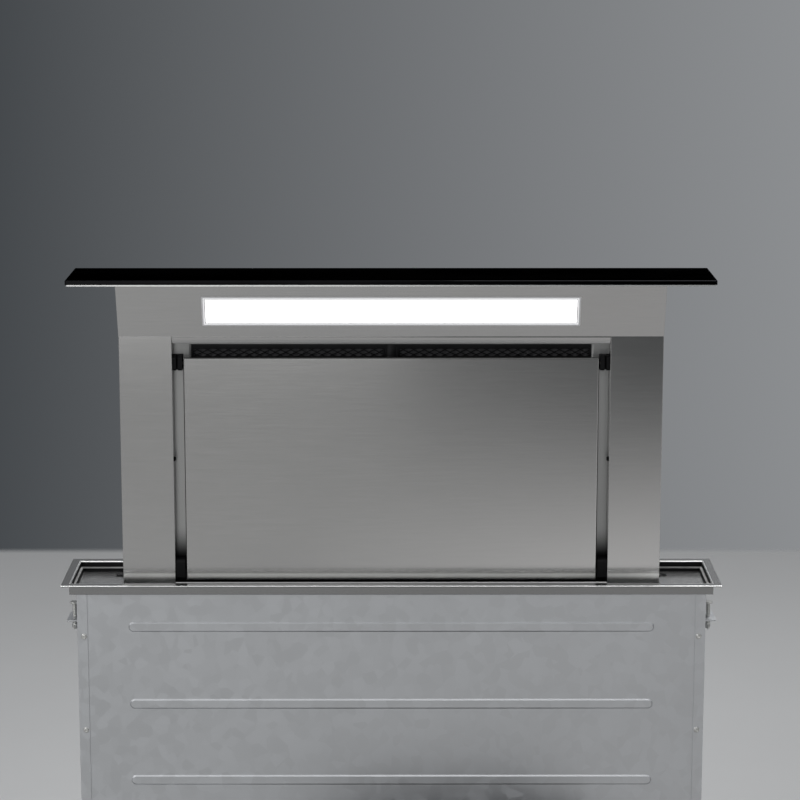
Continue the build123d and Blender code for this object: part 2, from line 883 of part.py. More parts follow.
def make_belt_clamps():
    """A block on each carriage arm, slotted round the front run of the belt."""
    arm_back = rail_y + carriage_arm / 2
    run_front = shaft_y - belt_outside
    run_back = shaft_y - belt_inside
    block_back = run_back + belt_play + clamp_block_wall
    low = foot_bottom + carriage_height / 2 - clamp_block_height / 2
    block_z = (low, low + clamp_block_height)
    with BuildPart() as belt_clamps:
        for x in both_sides(belt_inner - clamp_block_wall, belt_outer + clamp_block_wall):
            slab(x, (arm_back, block_back), block_z)
        for x in both_sides(belt_inner - belt_play, belt_outer + clamp_block_wall):
            slab(x, (run_front - belt_play, run_back + belt_play), block_z, Mode.SUBTRACT)
    save(belt_clamps, "belt_clamps")


def make_lift_belts():
    middle = (shaft_height + idler_height) / 2
    span = idler_height - shaft_height
    with BuildPart() as lift_belts:
        for start in (belt_inner, -belt_outer):
            with BuildSketch(Plane.YZ.offset(start)):
                with Locations((shaft_y, middle)):
                    SlotCenterToCenter(span, 2 * belt_outside, rotation=90)
                    SlotCenterToCenter(span, 2 * belt_inside, rotation=90, mode=Mode.SUBTRACT)
            extrude(amount=belt_width)
    save(lift_belts, "lift_belts")


def draw_pulley(x, z):
    """A flanged belt pulley, centred at x on an axle along X."""
    with BuildSketch(Plane.YZ.offset(x - belt_width / 2 - belt_play)) as drum:
        with Locations((shaft_y, z)):
            Circle(pulley_radius)
    extrude(drum.sketch, amount=belt_width + 2 * belt_play)
    for start in (x - belt_width / 2 - belt_play - pulley_flange, x + belt_width / 2 + belt_play):
        with BuildSketch(Plane.YZ.offset(start)) as flange:
            with Locations((shaft_y, z)):
                Circle(pulley_flange_radius)
        extrude(flange.sketch, amount=pulley_flange)


def make_drive_shaft():
    with BuildPart() as drive_shaft:
        with BuildSketch(Plane.YZ.offset(-shaft_half)):
            with Locations((shaft_y, shaft_height)):
                Circle(shaft_radius)
        extrude(amount=2 * shaft_half)
        for x in (-belt_x, belt_x):
            draw_pulley(x, shaft_height)
    save(drive_shaft, "drive_shaft")


def make_idler(x, node):
    with BuildPart() as idler:
        draw_pulley(x, idler_height)
        with BuildSketch(Plane.YZ.offset(x - belt_width)):
            with Locations((shaft_y, idler_height)):
                Circle(idler_axle_radius + running_gap)
        extrude(amount=2 * belt_width, mode=Mode.SUBTRACT)
    save(idler, node)


def make_idler_brackets():
    """Two cheeks on the back plate each side, with the idler's axle between them."""
    reach = belt_width / 2 + belt_play + pulley_flange + idler_cheek_gap
    half = idler_cheek_width / 2
    cheek_y = (shaft_y - half / 2, back_inner)
    cheek_z = (idler_height - half, idler_height + half)
    with BuildPart() as idler_brackets:
        for x in (-belt_x, belt_x):
            slab((x - reach - idler_cheek, x - reach), cheek_y, cheek_z)
            slab((x + reach, x + reach + idler_cheek), cheek_y, cheek_z)
            with BuildSketch(Plane.YZ.offset(x - reach - idler_cheek)):
                with Locations((shaft_y, idler_height)):
                    Circle(idler_axle_radius)
            extrude(amount=2 * (reach + idler_cheek))
    save(idler_brackets, "idler_brackets")


def make_shaft_bearings():
    half = bearing_width / 2
    with BuildPart() as shaft_bearings:
        for start in (shaft_half - bearing_thick, -shaft_half):
            with BuildSketch(Plane.YZ.offset(start)):
                with Locations((shaft_y, (base_top + shaft_height) / 2)):
                    Rectangle(bearing_width, shaft_height - base_top)
                with Locations((shaft_y, shaft_height)):
                    Circle(half)
                    Circle(shaft_radius + running_gap, mode=Mode.SUBTRACT)
            extrude(amount=bearing_thick)
    save(shaft_bearings, "shaft_bearings")


def make_lift_drive():
    box_y = (front_inner + casing_sheet + gearbox_margin, back_inner - casing_sheet - gearbox_margin)
    motor_y = front_inner + motor_setback
    with BuildPart() as lift_gearbox:
        slab((gearbox_x, gearbox_x + gearbox_width), box_y, (base_top, base_top + gearbox_height))
        fillet(lift_gearbox.edges().filter_by(Axis.X).group_by(Axis.Z)[-1], gearbox_radius)
        with BuildSketch(Plane.YZ.offset(gearbox_x)):
            with Locations((shaft_y, shaft_height)):
                Circle(shaft_radius + running_gap)
        extrude(amount=gearbox_width, mode=Mode.SUBTRACT)
    save(lift_gearbox, "lift_gearbox")

    with BuildPart() as lift_motor:
        with BuildSketch(Plane.YZ.offset(gearbox_x)):
            with Locations((motor_y, motor_height)):
                Circle(motor_radius)
        extrude(amount=-motor_length)
        fillet(lift_motor.faces().sort_by(Axis.X)[0].edges(), motor_edge)
    save(lift_motor, "lift_motor")


def make_end_sensors():
    body_front = column_back + sensor_lever + clearance
    with BuildPart() as end_sensors:
        for low in (foot_bottom + foot_height, foot_bottom + foot_height - lift_travel):
            sensor_z = (low, low + sensor_height)
            lever_z = (low + sensor_lever_rise, low + sensor_lever_rise + sensor_lever_thick)
            slab((-sensor_width / 2, sensor_width / 2), (body_front, back_inner), sensor_z)
            lever_x = (-sensor_lever_width / 2, sensor_lever_width / 2)
            slab(lever_x, (body_front - sensor_lever, body_front), lever_z)
    save(end_sensors, "end_sensors")


# ======================= fan unit =======================

def draw_scroll(plane, shrink):
    """The fan's spiral outline: three quarter arcs whose radius grows by one step each, then the mouth."""
    step = scroll_step
    start = scroll_start_radius - shrink
    top = fan_height + scroll_step + start + 2 * step
    lip = fan_height + scroll_step + scroll_start_radius + 2 * step - scroll_mouth + shrink
    with BuildSketch(plane) as outline:
        with BuildLine():
            CenterArc((0, fan_height), start, 0, -90)
            CenterArc((0, fan_height + step), start + step, -90, -90)
            CenterArc((step, fan_height + step), start + 2 * step, 180, -90)
            Line((step, top), (scroll_reach, top))
            Line((scroll_reach, top), (scroll_reach, lip))
            Line((scroll_reach, lip), (start, lip))
            Line((start, lip), (start, fan_height))
        make_face()
    return outline.sketch


def make_inlet_ring():
    outer = port_radius + ring_flange
    with BuildPart() as inlet_ring:
        with BuildSketch(Plane.XZ.offset(-front_plate)):
            with Locations((0, fan_height)):
                Circle(outer)
                Circle(port_radius, mode=Mode.SUBTRACT)
        extrude(amount=ring_wall)
        with BuildSketch(Plane.XZ.offset(-front_plate)):
            with Locations((0, fan_height)):
                Circle(port_radius + ring_wall)
                Circle(port_radius, mode=Mode.SUBTRACT)
        extrude(amount=ring_depth)
    save(inlet_ring, "inlet_ring")


def make_fan_scroll():
    with BuildPart() as fan_scroll:
        extrude(draw_scroll(Plane.XZ.offset(-scroll_rear), 0), amount=scroll_depth)
        extrude(draw_scroll(Plane.XZ.offset(-scroll_rear), -scroll_rim), amount=scroll_rim_thick)
        inside = draw_scroll(Plane.XZ.offset(-scroll_rear + scroll_wall), scroll_wall)
        extrude(inside, amount=scroll_depth, mode=Mode.SUBTRACT)
        with BuildSketch(Plane.XZ.offset(-scroll_rear)):
            with Locations((0, fan_height)):
                Circle(inlet_radius)
        extrude(amount=scroll_wall, mode=Mode.SUBTRACT)
    save(fan_scroll, "fan_scroll")


def make_fan_cover():
    with BuildPart() as fan_cover:
        extrude(draw_scroll(Plane.XZ.offset(-scroll_front), -scroll_rim), amount=cover_thick)
        with BuildSketch(Plane.XZ.offset(-scroll_front)):
            with Locations((0, fan_height)):
                Circle(motor_neck_radius)
        extrude(amount=cover_thick, mode=Mode.SUBTRACT)
    save(fan_cover, "fan_cover")


def make_fan_motor():
    with BuildPart() as fan_motor:
        for start, radius, length in (
            (cover_front, motor_body_radius, motor_body_depth),
            (scroll_front + motor_neck_depth, motor_neck_radius, motor_neck_depth + cover_thick),
            (scroll_front + motor_neck_depth + motor_shaft_length, motor_shaft_radius, motor_shaft_length),
        ):
            with BuildSketch(Plane.XZ.offset(-start)):
                with Locations((0, fan_height)):
                    Circle(radius)
            extrude(amount=length)
        fillet(fan_motor.faces().sort_by(Axis.Y)[0].edges(), motor_body_edge)
    save(fan_motor, "fan_motor")


def make_impeller():
    inlet_end = scroll_rear - scroll_wall - impeller_gap
    disc_end = inlet_end - impeller_length
    ring_inner = impeller_radius - blade_chord
    blade_ring = impeller_radius - blade_chord / 2
    with BuildPart() as impeller:
        with BuildSketch(Plane.XZ.offset(-disc_end)):
            with Locations((0, fan_height)):
                Circle(impeller_radius)
        extrude(amount=-impeller_disc)
        with BuildSketch(Plane.XZ.offset(-disc_end)):
            with Locations((0, fan_height)):
                Circle(impeller_hub_radius)
        extrude(amount=-impeller_hub_length)
        with BuildSketch(Plane.XZ.offset(-inlet_end)):
            with Locations((0, fan_height)):
                Circle(impeller_radius)
                Circle(ring_inner, mode=Mode.SUBTRACT)
        extrude(amount=impeller_ring)
        with BuildSketch(Plane.XZ.offset(-inlet_end)):
            with Locations((0, fan_height)):
                with PolarLocations(blade_ring, blade_count):
                    Rectangle(blade_chord - blade_thick, blade_thick, rotation=blade_angle)
        extrude(amount=impeller_length)
        with BuildSketch(Plane.XZ.offset(-inlet_end)):
            with Locations((0, fan_height)):
                Circle(motor_shaft_radius + running_gap)
        extrude(amount=impeller_length, mode=Mode.SUBTRACT)
    save(impeller, "impeller")


def duct_height():
    mouth_top = fan_height + scroll_start_radius + 3 * scroll_step
    return mouth_top - scroll_mouth / 2


def make_outlet_collar():
    duct_bore = duct_radius - duct_wall
    flap_x = scroll_reach + duct_flange + flap_setback
    with BuildPart() as outlet_collar:
        with BuildSketch(Plane.YZ.offset(scroll_reach)):
            with Locations((scroll_mid, duct_height())):
                Rectangle(scroll_depth, scroll_mouth)
                Circle(duct_bore - duct_lip, mode=Mode.SUBTRACT)
        extrude(amount=duct_flange)
        with BuildSketch(Plane.YZ.offset(scroll_reach + duct_flange)):
            with Locations((scroll_mid, duct_height())):
                Circle(duct_radius)
                Circle(duct_bore, mode=Mode.SUBTRACT)
        extrude(amount=duct_length)
        with BuildSketch(Plane.XY.offset(duct_height() - duct_radius)):
            with Locations((flap_x, scroll_mid)):
                Circle(flap_pin_radius)
        extrude(amount=2 * duct_radius, mode=Mode.SUBTRACT)
    save(outlet_collar, "outlet_collar")

    with BuildPart() as flap_pin:
        with BuildSketch(Plane.XY.offset(duct_height() - duct_radius)):
            with Locations((flap_x, scroll_mid)):
                Circle(flap_pin_radius)
        extrude(amount=2 * duct_radius)
    save(flap_pin, "flap_pin")


def make_flap(side, node):
    """Half a disc with its own knuckles on the shared pin: one long, or two short ones."""
    flap_x = scroll_reach + duct_flange + flap_setback
    flap_radius = duct_radius - duct_wall - flap_gap
    barrel = flap_pin_radius + running_gap + flap_barrel
    plate_start = barrel + flap_barrel_gap
    half_knuckle = flap_knuckle / 2
    if side > 0:
        knuckles = [(-half_knuckle, half_knuckle)]
    else:
        outer_start = half_knuckle + flap_barrel_gap
        knuckles = [(outer_start, 2 * half_knuckle), (-2 * half_knuckle, -outer_start)]
    with BuildPart() as flap:
        with BuildSketch(Plane.YZ.offset(flap_x - flap_thick / 2)):
            with Locations((scroll_mid, duct_height())):
                Circle(flap_radius)
            cut_to = scroll_mid - side * (flap_radius - plate_start)
            with Locations((cut_to, duct_height())):
                Rectangle(2 * flap_radius, 2 * flap_radius, mode=Mode.SUBTRACT)
        extrude(amount=flap_thick)
        for low, high in knuckles:
            tab_y = sorted((scroll_mid, scroll_mid + side * plate_start))
            tab_z = (duct_height() + low, duct_height() + high)
            slab((flap_x - flap_thick / 2, flap_x + flap_thick / 2), tab_y, tab_z)
            with BuildSketch(Plane.XY.offset(tab_z[0])):
                with Locations((flap_x, scroll_mid)):
                    Circle(barrel)
            extrude(amount=high - low)
        with BuildSketch(Plane.XY.offset(duct_height() - duct_radius)):
            with Locations((flap_x, scroll_mid)):
                Circle(flap_pin_radius + running_gap)
        extrude(amount=2 * duct_radius, mode=Mode.SUBTRACT)
    save(flap, node)


def make_fan_stand():
    """Two cheeks shaped to the belly of the scroll, on a floor strip."""
    front = scroll_front + stand_inset
    back = scroll_rear - stand_inset
    with BuildPart() as fan_stand:
        slab((-stand_width / 2, stand_width / 2), (front, back), (0, stand_height))
        extrude(draw_scroll(Plane.XZ.offset(-scroll_rear), 0), amount=scroll_depth, mode=Mode.SUBTRACT)
        hollow_y = (front + stand_sheet, back - stand_sheet)
        hollow_z = (stand_sheet, stand_height)
        slab((-stand_width / 2, stand_width / 2), hollow_y, hollow_z, Mode.SUBTRACT)
    save(fan_stand, "fan_stand")


# ======================= control box =======================

def make_control_box():
    half = control_width / 2
    box_x = (control_x - half, control_x + half)
    box_y = (front_plate - control_depth, front_plate)
    box_z = (control_bottom, control_bottom + control_height)
    with BuildPart() as control_box:
        slab(box_x, box_y, box_z)
        fillet(control_box.edges().filter_by(Axis.Y), 2 * control_wall)
        inner_x = (box_x[0] + control_wall, box_x[1] - control_wall)
        inner_z = (box_z[0] + control_wall, box_z[1] - control_wall)
        slab(inner_x, (box_y[0], box_y[1] - control_wall), inner_z, Mode.SUBTRACT)
        with BuildSketch(Plane.XY.offset(control_bottom)):
            with Locations((control_x, front_plate - control_depth / 2)):
                Circle(gland_radius)
        extrude(amount=control_wall, mode=Mode.SUBTRACT)
    save(control_box, "control_box")

    with BuildPart() as control_lid:
        slab(box_x, (box_y[0] - control_wall, box_y[0]), box_z)
        fillet(control_lid.edges().filter_by(Axis.Y), 2 * control_wall)
    save(control_lid, "control_lid")

    gland_top = control_bottom + control_wall + gland_nut
    with BuildPart() as mains_gland:
        with BuildSketch(Plane.XY.offset(control_bottom - gland_length)):
            with Locations((control_x, front_plate - control_depth / 2)):
                Circle(gland_radius)
        extrude(amount=gland_top - control_bottom + gland_length)
        for bottom in (control_bottom - gland_nut, control_bottom + control_wall):
            with BuildSketch(Plane.XY.offset(bottom)):
                with Locations((control_x, front_plate - control_depth / 2)):
                    RegularPolygon(gland_flats, 6)
            extrude(amount=gland_nut)
        with BuildSketch(Plane.XY.offset(control_bottom - gland_length)):
            with Locations((control_x, front_plate - control_depth / 2)):
                Circle(gland_bore)
        extrude(amount=gland_top - control_bottom + gland_length, mode=Mode.SUBTRACT)
    save(mains_gland, "mains_gland")


make_tray_frame()
make_tray_floor()
make_tray_seal()
make_worktop_tape()
make_casing_plates()
make_casing_side(-1, "casing_side_left")
make_casing_side(1, "casing_side_right")
make_casing_base()
make_casing_screws()
make_levelling_feet()
make_worktop_clamps()
make_pillar(-1, "pillar_left")
make_pillar(1, "pillar_right")
make_column_skins()
make_column_foot()
make_column_sill()
make_top_rail()
make_filter_frame()
make_filter(-1, "filter_left")
make_filter(1, "filter_right")
make_head_shell()
make_lamp()
make_lid()
make_panel_catches()
make_hinge_brackets()
make_front_panel()
make_guide_rails()
make_carriages()
make_belt_clamps()
make_lift_belts()
make_drive_shaft()
make_idler(-belt_x, "idler_left")
make_idler(belt_x, "idler_right")
make_idler_brackets()
make_shaft_bearings()
make_lift_drive()
make_end_sensors()
make_inlet_ring()
make_fan_scroll()
make_fan_cover()
make_fan_motor()
make_impeller()
make_outlet_collar()
make_flap(-1, "flap_front")
make_flap(1, "flap_rear")
make_fan_stand()
make_control_box()
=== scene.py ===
import json
from math import cos, pi, sin
import bmesh
import bpy
from mathutils import Matrix, Vector


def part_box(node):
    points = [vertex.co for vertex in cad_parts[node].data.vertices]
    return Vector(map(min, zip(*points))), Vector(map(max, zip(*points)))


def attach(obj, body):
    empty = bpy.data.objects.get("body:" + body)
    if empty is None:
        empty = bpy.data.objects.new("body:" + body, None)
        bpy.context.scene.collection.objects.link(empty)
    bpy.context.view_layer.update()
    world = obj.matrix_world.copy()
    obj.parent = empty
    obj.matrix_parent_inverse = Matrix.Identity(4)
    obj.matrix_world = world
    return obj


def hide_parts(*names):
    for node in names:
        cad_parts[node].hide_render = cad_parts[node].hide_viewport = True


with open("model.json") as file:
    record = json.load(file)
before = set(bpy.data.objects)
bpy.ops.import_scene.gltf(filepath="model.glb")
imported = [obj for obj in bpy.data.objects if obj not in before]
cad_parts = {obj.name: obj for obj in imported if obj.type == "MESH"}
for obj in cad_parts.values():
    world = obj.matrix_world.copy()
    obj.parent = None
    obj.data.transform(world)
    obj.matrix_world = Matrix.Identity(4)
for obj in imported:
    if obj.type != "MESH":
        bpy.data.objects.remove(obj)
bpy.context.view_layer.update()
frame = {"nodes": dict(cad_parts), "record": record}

nodes = frame["nodes"]
slot_of = {part["node"]: part["material_slot"] for part in frame["record"]["subparts"]}

MM = 0.001
X_AXIS = Vector((1, 0, 0))
Y_AXIS = Vector((0, 1, 0))


# ---------- shader helpers ----------

def fill(tree, node, inputs):
    """Sets a node's inputs, by name or index, to values or links."""
    for key, value in inputs.items():
        if isinstance(value, bpy.types.NodeSocket):
            tree.links.new(value, node.inputs[key])
        else:
            node.inputs[key].default_value = value


def add_node(tree, kind, inputs=None, **settings):
    node = tree.nodes.new(kind)
    for key, value in settings.items():
        setattr(node, key, value)
    fill(tree, node, inputs or {})
    return node


def own_place(tree):
    """Places in a piece's own space: where its points are at rest."""
    return add_node(tree, "ShaderNodeTexCoord").outputs["Object"]


def combine(tree, operation, first, second=0.0, kind="ShaderNodeMath"):
    return add_node(tree, kind, {0: first, 1: second}, operation=operation).outputs[0]


def multiply(tree, product, *others):
    for other in others:
        product = combine(tree, "MULTIPLY", product, other)
    return product


def add_noise(tree, waves, detail):
    """Noise with so many waves to a metre, on X, Y and Z or on all."""
    scale = waves if isinstance(waves, tuple) else (waves, waves, waves)
    inputs = {"Vector": own_place(tree), "Scale": scale}
    mapped = add_node(tree, "ShaderNodeMapping", inputs).outputs["Vector"]
    inputs = {"Vector": mapped, "Scale": 1.0, "Detail": detail, "Roughness": 0.6}
    return add_node(tree, "ShaderNodeTexNoise", inputs).outputs["Fac"]


def spread(tree, value, low, high, start=0.3, end=0.7):
    """value between start and end, turned into a number between low and high."""
    inputs = {"Value": value, "From Min": start, "From Max": end, "To Min": low, "To Max": high}
    return add_node(tree, "ShaderNodeMapRange", inputs).outputs["Result"]


def fade(tree, value, edge):
    """A smooth step from 0 to 1 between two values."""
    inputs = {"Value": value, "From Min": edge[0], "From Max": edge[1]}
    step = add_node(tree, "ShaderNodeMapRange", inputs, interpolation_type="SMOOTHSTEP")
    return step.outputs["Result"]


def blend(tree, factor, *colours):
    """A mix of two colours. The mix node takes them at sockets 6 and 7 and gives them at 2."""
    first, second = ((*c, 1.0) if isinstance(c, tuple) else c for c in colours)
    inputs = {0: factor, 6: first, 7: second}
    return add_node(tree, "ShaderNodeMix", inputs, data_type="RGBA").outputs[2]


def shade(colour, factor):
    return tuple(min(1.0, channel * factor) for channel in colour)


def mottle(tree, pattern, first, second, most=1.0, start=0.3, end=0.7):
    """The first colour, with up to `most` of the second as a pattern goes from start to end."""
    return blend(tree, spread(tree, pattern, 0.0, most, start, end), first, second)


def soften_edges(tree, radius):
    """Normals that run smoothly over an edge, as on a sheet edge with its burr taken off."""
    return add_node(tree, "ShaderNodeBevel", {"Radius": radius}, samples=4).outputs["Normal"]


def roughen(tree, height, strength, distance=0.05 * MM, edge=0.0):
    """Normals with bump from a pattern, over edges softened by a radius."""
    inputs = {"Height": height, "Strength": strength, "Distance": distance}
    if edge:
        inputs["Normal"] = soften_edges(tree, edge)
    return add_node(tree, "ShaderNodeBump", inputs).outputs["Normal"]


def across_grain(tree):
    """The direction across the brush lines, in which highlights are drawn out. The small step
    keeps it from vanishing on faces that look along X."""
    small_step, kind = (0.01, 0.01, 0.01), "ShaderNodeVectorMath"
    normal = add_node(tree, "ShaderNodeNewGeometry").outputs["Normal"]
    across = combine(tree, "CROSS_PRODUCT", normal, X_AXIS, kind)
    return combine(tree, "ADD", across, small_step, kind)


# ---------- materials ----------

def brushed_steel(tree, shader, colour, gloss, brush_depth=0.02, edge=0.5 * MM):
    """Satin stainless sheet, brushed along X and smudged a little by hands."""
    along, across, fine = 14.0, 900.0, 2600.0
    tone_range = (0.7, 1.3)
    coarse = add_noise(tree, (along, across, across), 3.0)
    lines = add_noise(tree, (3 * along, fine, fine), 2.0)
    smudge = add_noise(tree, (5.0, 5.0, 7.0), 3.0)
    tone = combine(tree, "ADD", coarse, lines)
    brushed = mottle(tree, tone, shade(colour, 0.97), shade(colour, 1.03), 1.0, *tone_range)
    handled = mottle(tree, smudge, brushed, shade(colour, 0.86), 0.25, 0.4, 0.8)
    roughness = spread(tree, tone, gloss - 0.01, gloss + 0.01, *tone_range)
    fill(tree, shader, {"Base Color": handled, "Roughness": roughness, "Metallic": 1.0,
                        "Anisotropic": 0.8, "Tangent": across_grain(tree),
                        "Normal": roughen(tree, tone, brush_depth, edge=edge)})


def zinc_sheet(tree, shader, colour):
    """Hot dipped sheet with a faint spangle of flat crystals and a few rubbed streaks."""
    inputs = {"Vector": own_place(tree), "Scale": 70.0}
    crystal = add_node(tree, "ShaderNodeTexVoronoi", inputs).outputs["Color"]
    crystal_tone = add_node(tree, "ShaderNodeSeparateColor", {"Color": crystal}).outputs["Red"]
    rubbed = add_noise(tree, 5.0, 6.0)
    flecked = blend(tree, crystal_tone, shade(colour, 0.95), shade(colour, 1.04))
    worn = mottle(tree, rubbed, flecked, shade(colour, 0.85), 0.2, 0.45, 0.75)
    roughness = spread(tree, crystal_tone, 0.36, 0.50, 0.0, 1.0)
    fill(tree, shader, {"Base Color": worn, "Roughness": roughness, "Metallic": 1.0,
                        "Normal": roughen(tree, crystal_tone, 0.06, edge=0.4 * MM)})


def plain_metal(tree, shader, colour, gloss, lines=(40.0, 900.0, 900.0), metallic=1.0):
    """Drawn, turned or plated metal with fine tool lines."""
    drawn = add_noise(tree, lines, 3.0)
    cloud = add_noise(tree, 25.0, 4.0)
    toned = mottle(tree, drawn, shade(colour, 0.88), shade(colour, 1.08))
    worn = mottle(tree, cloud, toned, shade(colour, 0.70), 0.35, 0.45, 0.75)
    roughness = spread(tree, cloud, gloss - 0.05, gloss + 0.08)
    fill(tree, shader, {"Base Color": worn, "Roughness": roughness, "Metallic": metallic,
                        "Normal": roughen(tree, drawn, 0.10, edge=0.4 * MM)})


def moulded_plastic(tree, shader, colour, gloss, grain=1400.0, depth=0.15, shine=0.5):
    """Moulded plastic with a fine grain and slightly rubbed patches."""
    pits = add_noise(tree, grain, 2.0)
    cloud = add_noise(tree, 18.0, 4.0)
    toned = mottle(tree, cloud, shade(colour, 0.85), shade(colour, 1.15))
    roughness = spread(tree, cloud, gloss - 0.06, gloss + 0.08)
    fill(tree, shader, {"Base Color": toned, "Roughness": roughness, "Specular IOR Level": shine,
                        "Normal": roughen(tree, pits, depth, 0.06 * MM, 0.5 * MM)})


def soft_rubber(tree, shader, colour):
    """Rubber or silicone with fine pits and a trace of dust."""
    pits = add_noise(tree, 900.0, 3.0)
    dust = add_noise(tree, 60.0, 5.0)
    toned = mottle(tree, dust, colour, shade(colour, 1.8), 1.0, 0.4, 0.8)
    fill(tree, shader, {"Base Color": toned, "Roughness": spread(tree, dust, 0.62, 0.82),
                        "Normal": roughen(tree, pits, 0.25, 0.08 * MM)})


def black_glass(tree, shader, colour):
    """Polished glass painted black behind, with a trace of wiping on its face."""
    wiped = add_noise(tree, (4.0, 30.0, 30.0), 5.0)
    toned = mottle(tree, wiped, colour, shade(colour, 1.25))
    fill(tree, shader, {"Base Color": toned, "Roughness": spread(tree, wiped, 0.03, 0.09),
                        "Metallic": 1.0, "Specular Tint": (0.02, 0.02, 0.022, 1.0),
                        "Normal": soften_edges(tree, 0.4 * MM)})


def glowing_plastic(tree, shader, colour, strength, waves=600.0, darkest=0.96, roughness=0.5):
    """Acrylic that is lit as a lamp, or a part that glows as painted light."""
    toned = mottle(tree, add_noise(tree, waves, 2.0), shade(colour, darkest), colour)
    fill(tree, shader, {"Base Color": toned, "Emission Color": toned,
                        "Emission Strength": strength, "Roughness": roughness})


def printed_board(tree, shader, colour):
    """White solder mask with tinned tracks under it."""
    inputs = {"Vector": own_place(tree), "Scale": 60.0}
    for socket, factor in (("Color1", 1.0), ("Color2", 0.9), ("Mortar", 0.6)):
        inputs[socket] = (*shade(colour, factor), 1.0)
    tracks = add_node(tree, "ShaderNodeTexBrick", inputs).outputs["Color"]
    fill(tree, shader, {"Base Color": tracks, "Roughness": 0.35})


def paint_light_past(material, axis, start, end, colour):
    """Paints light or shade onto a sheet: another colour between two places on one axis. X counts
    outwards.
    """
    tree = material.node_tree
    shader = tree.nodes["Principled BSDF"]
    spot = add_node(tree, "ShaderNodeSeparateXYZ", {0: own_place(tree)}).outputs[axis]
    if axis == "X":
        spot = combine(tree, "ABSOLUTE", spot)
    base = shader.inputs["Base Color"].links[0].from_socket
    tinted = blend(tree, fade(tree, spot, (start, end)), base, colour)
    fill(tree, shader, {"Base Color": tinted})


def make_material(name, coat, *values):
    material = bpy.data.materials.new(name)
    material.use_nodes = True
    tree = material.node_tree
    coat(tree, tree.nodes["Principled BSDF"], *values)
    return material


LIGHT_BRUSH = 0.004
SATIN_SHEET = (brushed_steel, (0.49, 0.485, 0.48), 0.13, LIGHT_BRUSH)
COATS = {
    "brushed_column": SATIN_SHEET,
    # Copies of the satin sheet for the panel and the pillars: they carry painted highlights and
    # painted shade at their edges and feet.
    "panel_steel": SATIN_SHEET,
    "pillar_steel": SATIN_SHEET,
    "rail_steel": (*SATIN_SHEET, 0.0),
    "polished_edge": (brushed_steel, (0.88, 0.88, 0.87), 0.24, LIGHT_BRUSH, 0.0),
    # Flange and frame steel: a painted highlight along the flange rim, and painted shade at the
    # frame's foot.
    "flange_steel": (brushed_steel, (0.28, 0.28, 0.278), 0.22, 0.02, 1.4 * MM),
    "frame_steel": (brushed_steel, (0.35, 0.35, 0.345), 0.36),
    "inner_steel": (brushed_steel, (0.43, 0.43, 0.425), 0.36),
    "tray_steel": (brushed_steel, (0.40, 0.40, 0.40), 0.20),
    "casing_steel": (zinc_sheet, (0.56, 0.57, 0.585)),
    "fastener_steel": (plain_metal, (0.62, 0.62, 0.60), 0.32),
    # Blackened steel for the hinge pins; on the frame's mullion it is painted shade.
    "blackened_steel": (plain_metal, (0.035, 0.035, 0.036), 0.40),
    # Nearly black as painted shade, so that the filters behind the suction slot read as dark.
    "filter_aluminium": (plain_metal, (0.022, 0.022, 0.023), 0.42),
    "rail_aluminium": (plain_metal, (0.66, 0.66, 0.67), 0.36, (900.0, 900.0, 30.0)),
    "motor_metal": (plain_metal, (0.045, 0.045, 0.05), 0.42, (300.0, 300.0, 300.0), 0.3),
    "black_glass": (black_glass, (0.010, 0.010, 0.011)),
    "lamp_white": (glowing_plastic, (0.95, 0.95, 0.95), 1.6, (12.0, 40.0, 40.0), 0.97, 0.4),
    "lamp_trim": (glowing_plastic, (0.86, 0.86, 0.87), 0.55),
    # A painted halo: glow on the thin outer lip round the lamp.
    "painted_halo_glow": (glowing_plastic, (0.62, 0.62, 0.63), 0.20),
    # A pale liner that glows: painted light on the recess's front wall, which the panel's foot
    # mirrors.
    "painted_glow_liner": (glowing_plastic, (0.78, 0.78, 0.77), 0.17),
    "grey_silicone": (soft_rubber, (0.34, 0.34, 0.335)),
    "seal_rubber": (soft_rubber, (0.022, 0.022, 0.023)),
    "circuit_board": (printed_board, (0.80, 0.82, 0.80)),
    "core_foam": (moulded_plastic, (0.10, 0.10, 0.105), 0.75, 700.0, 0.4),
    "slide_plastic": (moulded_plastic, (0.74, 0.73, 0.69), 0.42, 900.0, 0.08),
    "fan_plastic": (moulded_plastic, (0.045, 0.046, 0.05), 0.45),
    "impeller_plastic": (moulded_plastic, (0.13, 0.13, 0.14), 0.40),
    # Black nylon for catches, stops and hinge blocks, and as painted shade on the recess walls, its
    # ledge and round the notches.
    "black_nylon": (moulded_plastic, (0.005, 0.005, 0.0055), 0.60, 1400.0, 0.15, 0.15),
}
materials = {name: make_material(name, *coat) for name, coat in COATS.items()}

look_of = dict(slot_of, hinge_pins="blackened_steel", tray_seal="grey_silicone",
               tray_frame="flange_steel", front_panel="panel_steel", top_rail="rail_steel",
               pillar_left="pillar_steel", pillar_right="pillar_steel",
               cover_plate="polished_edge")

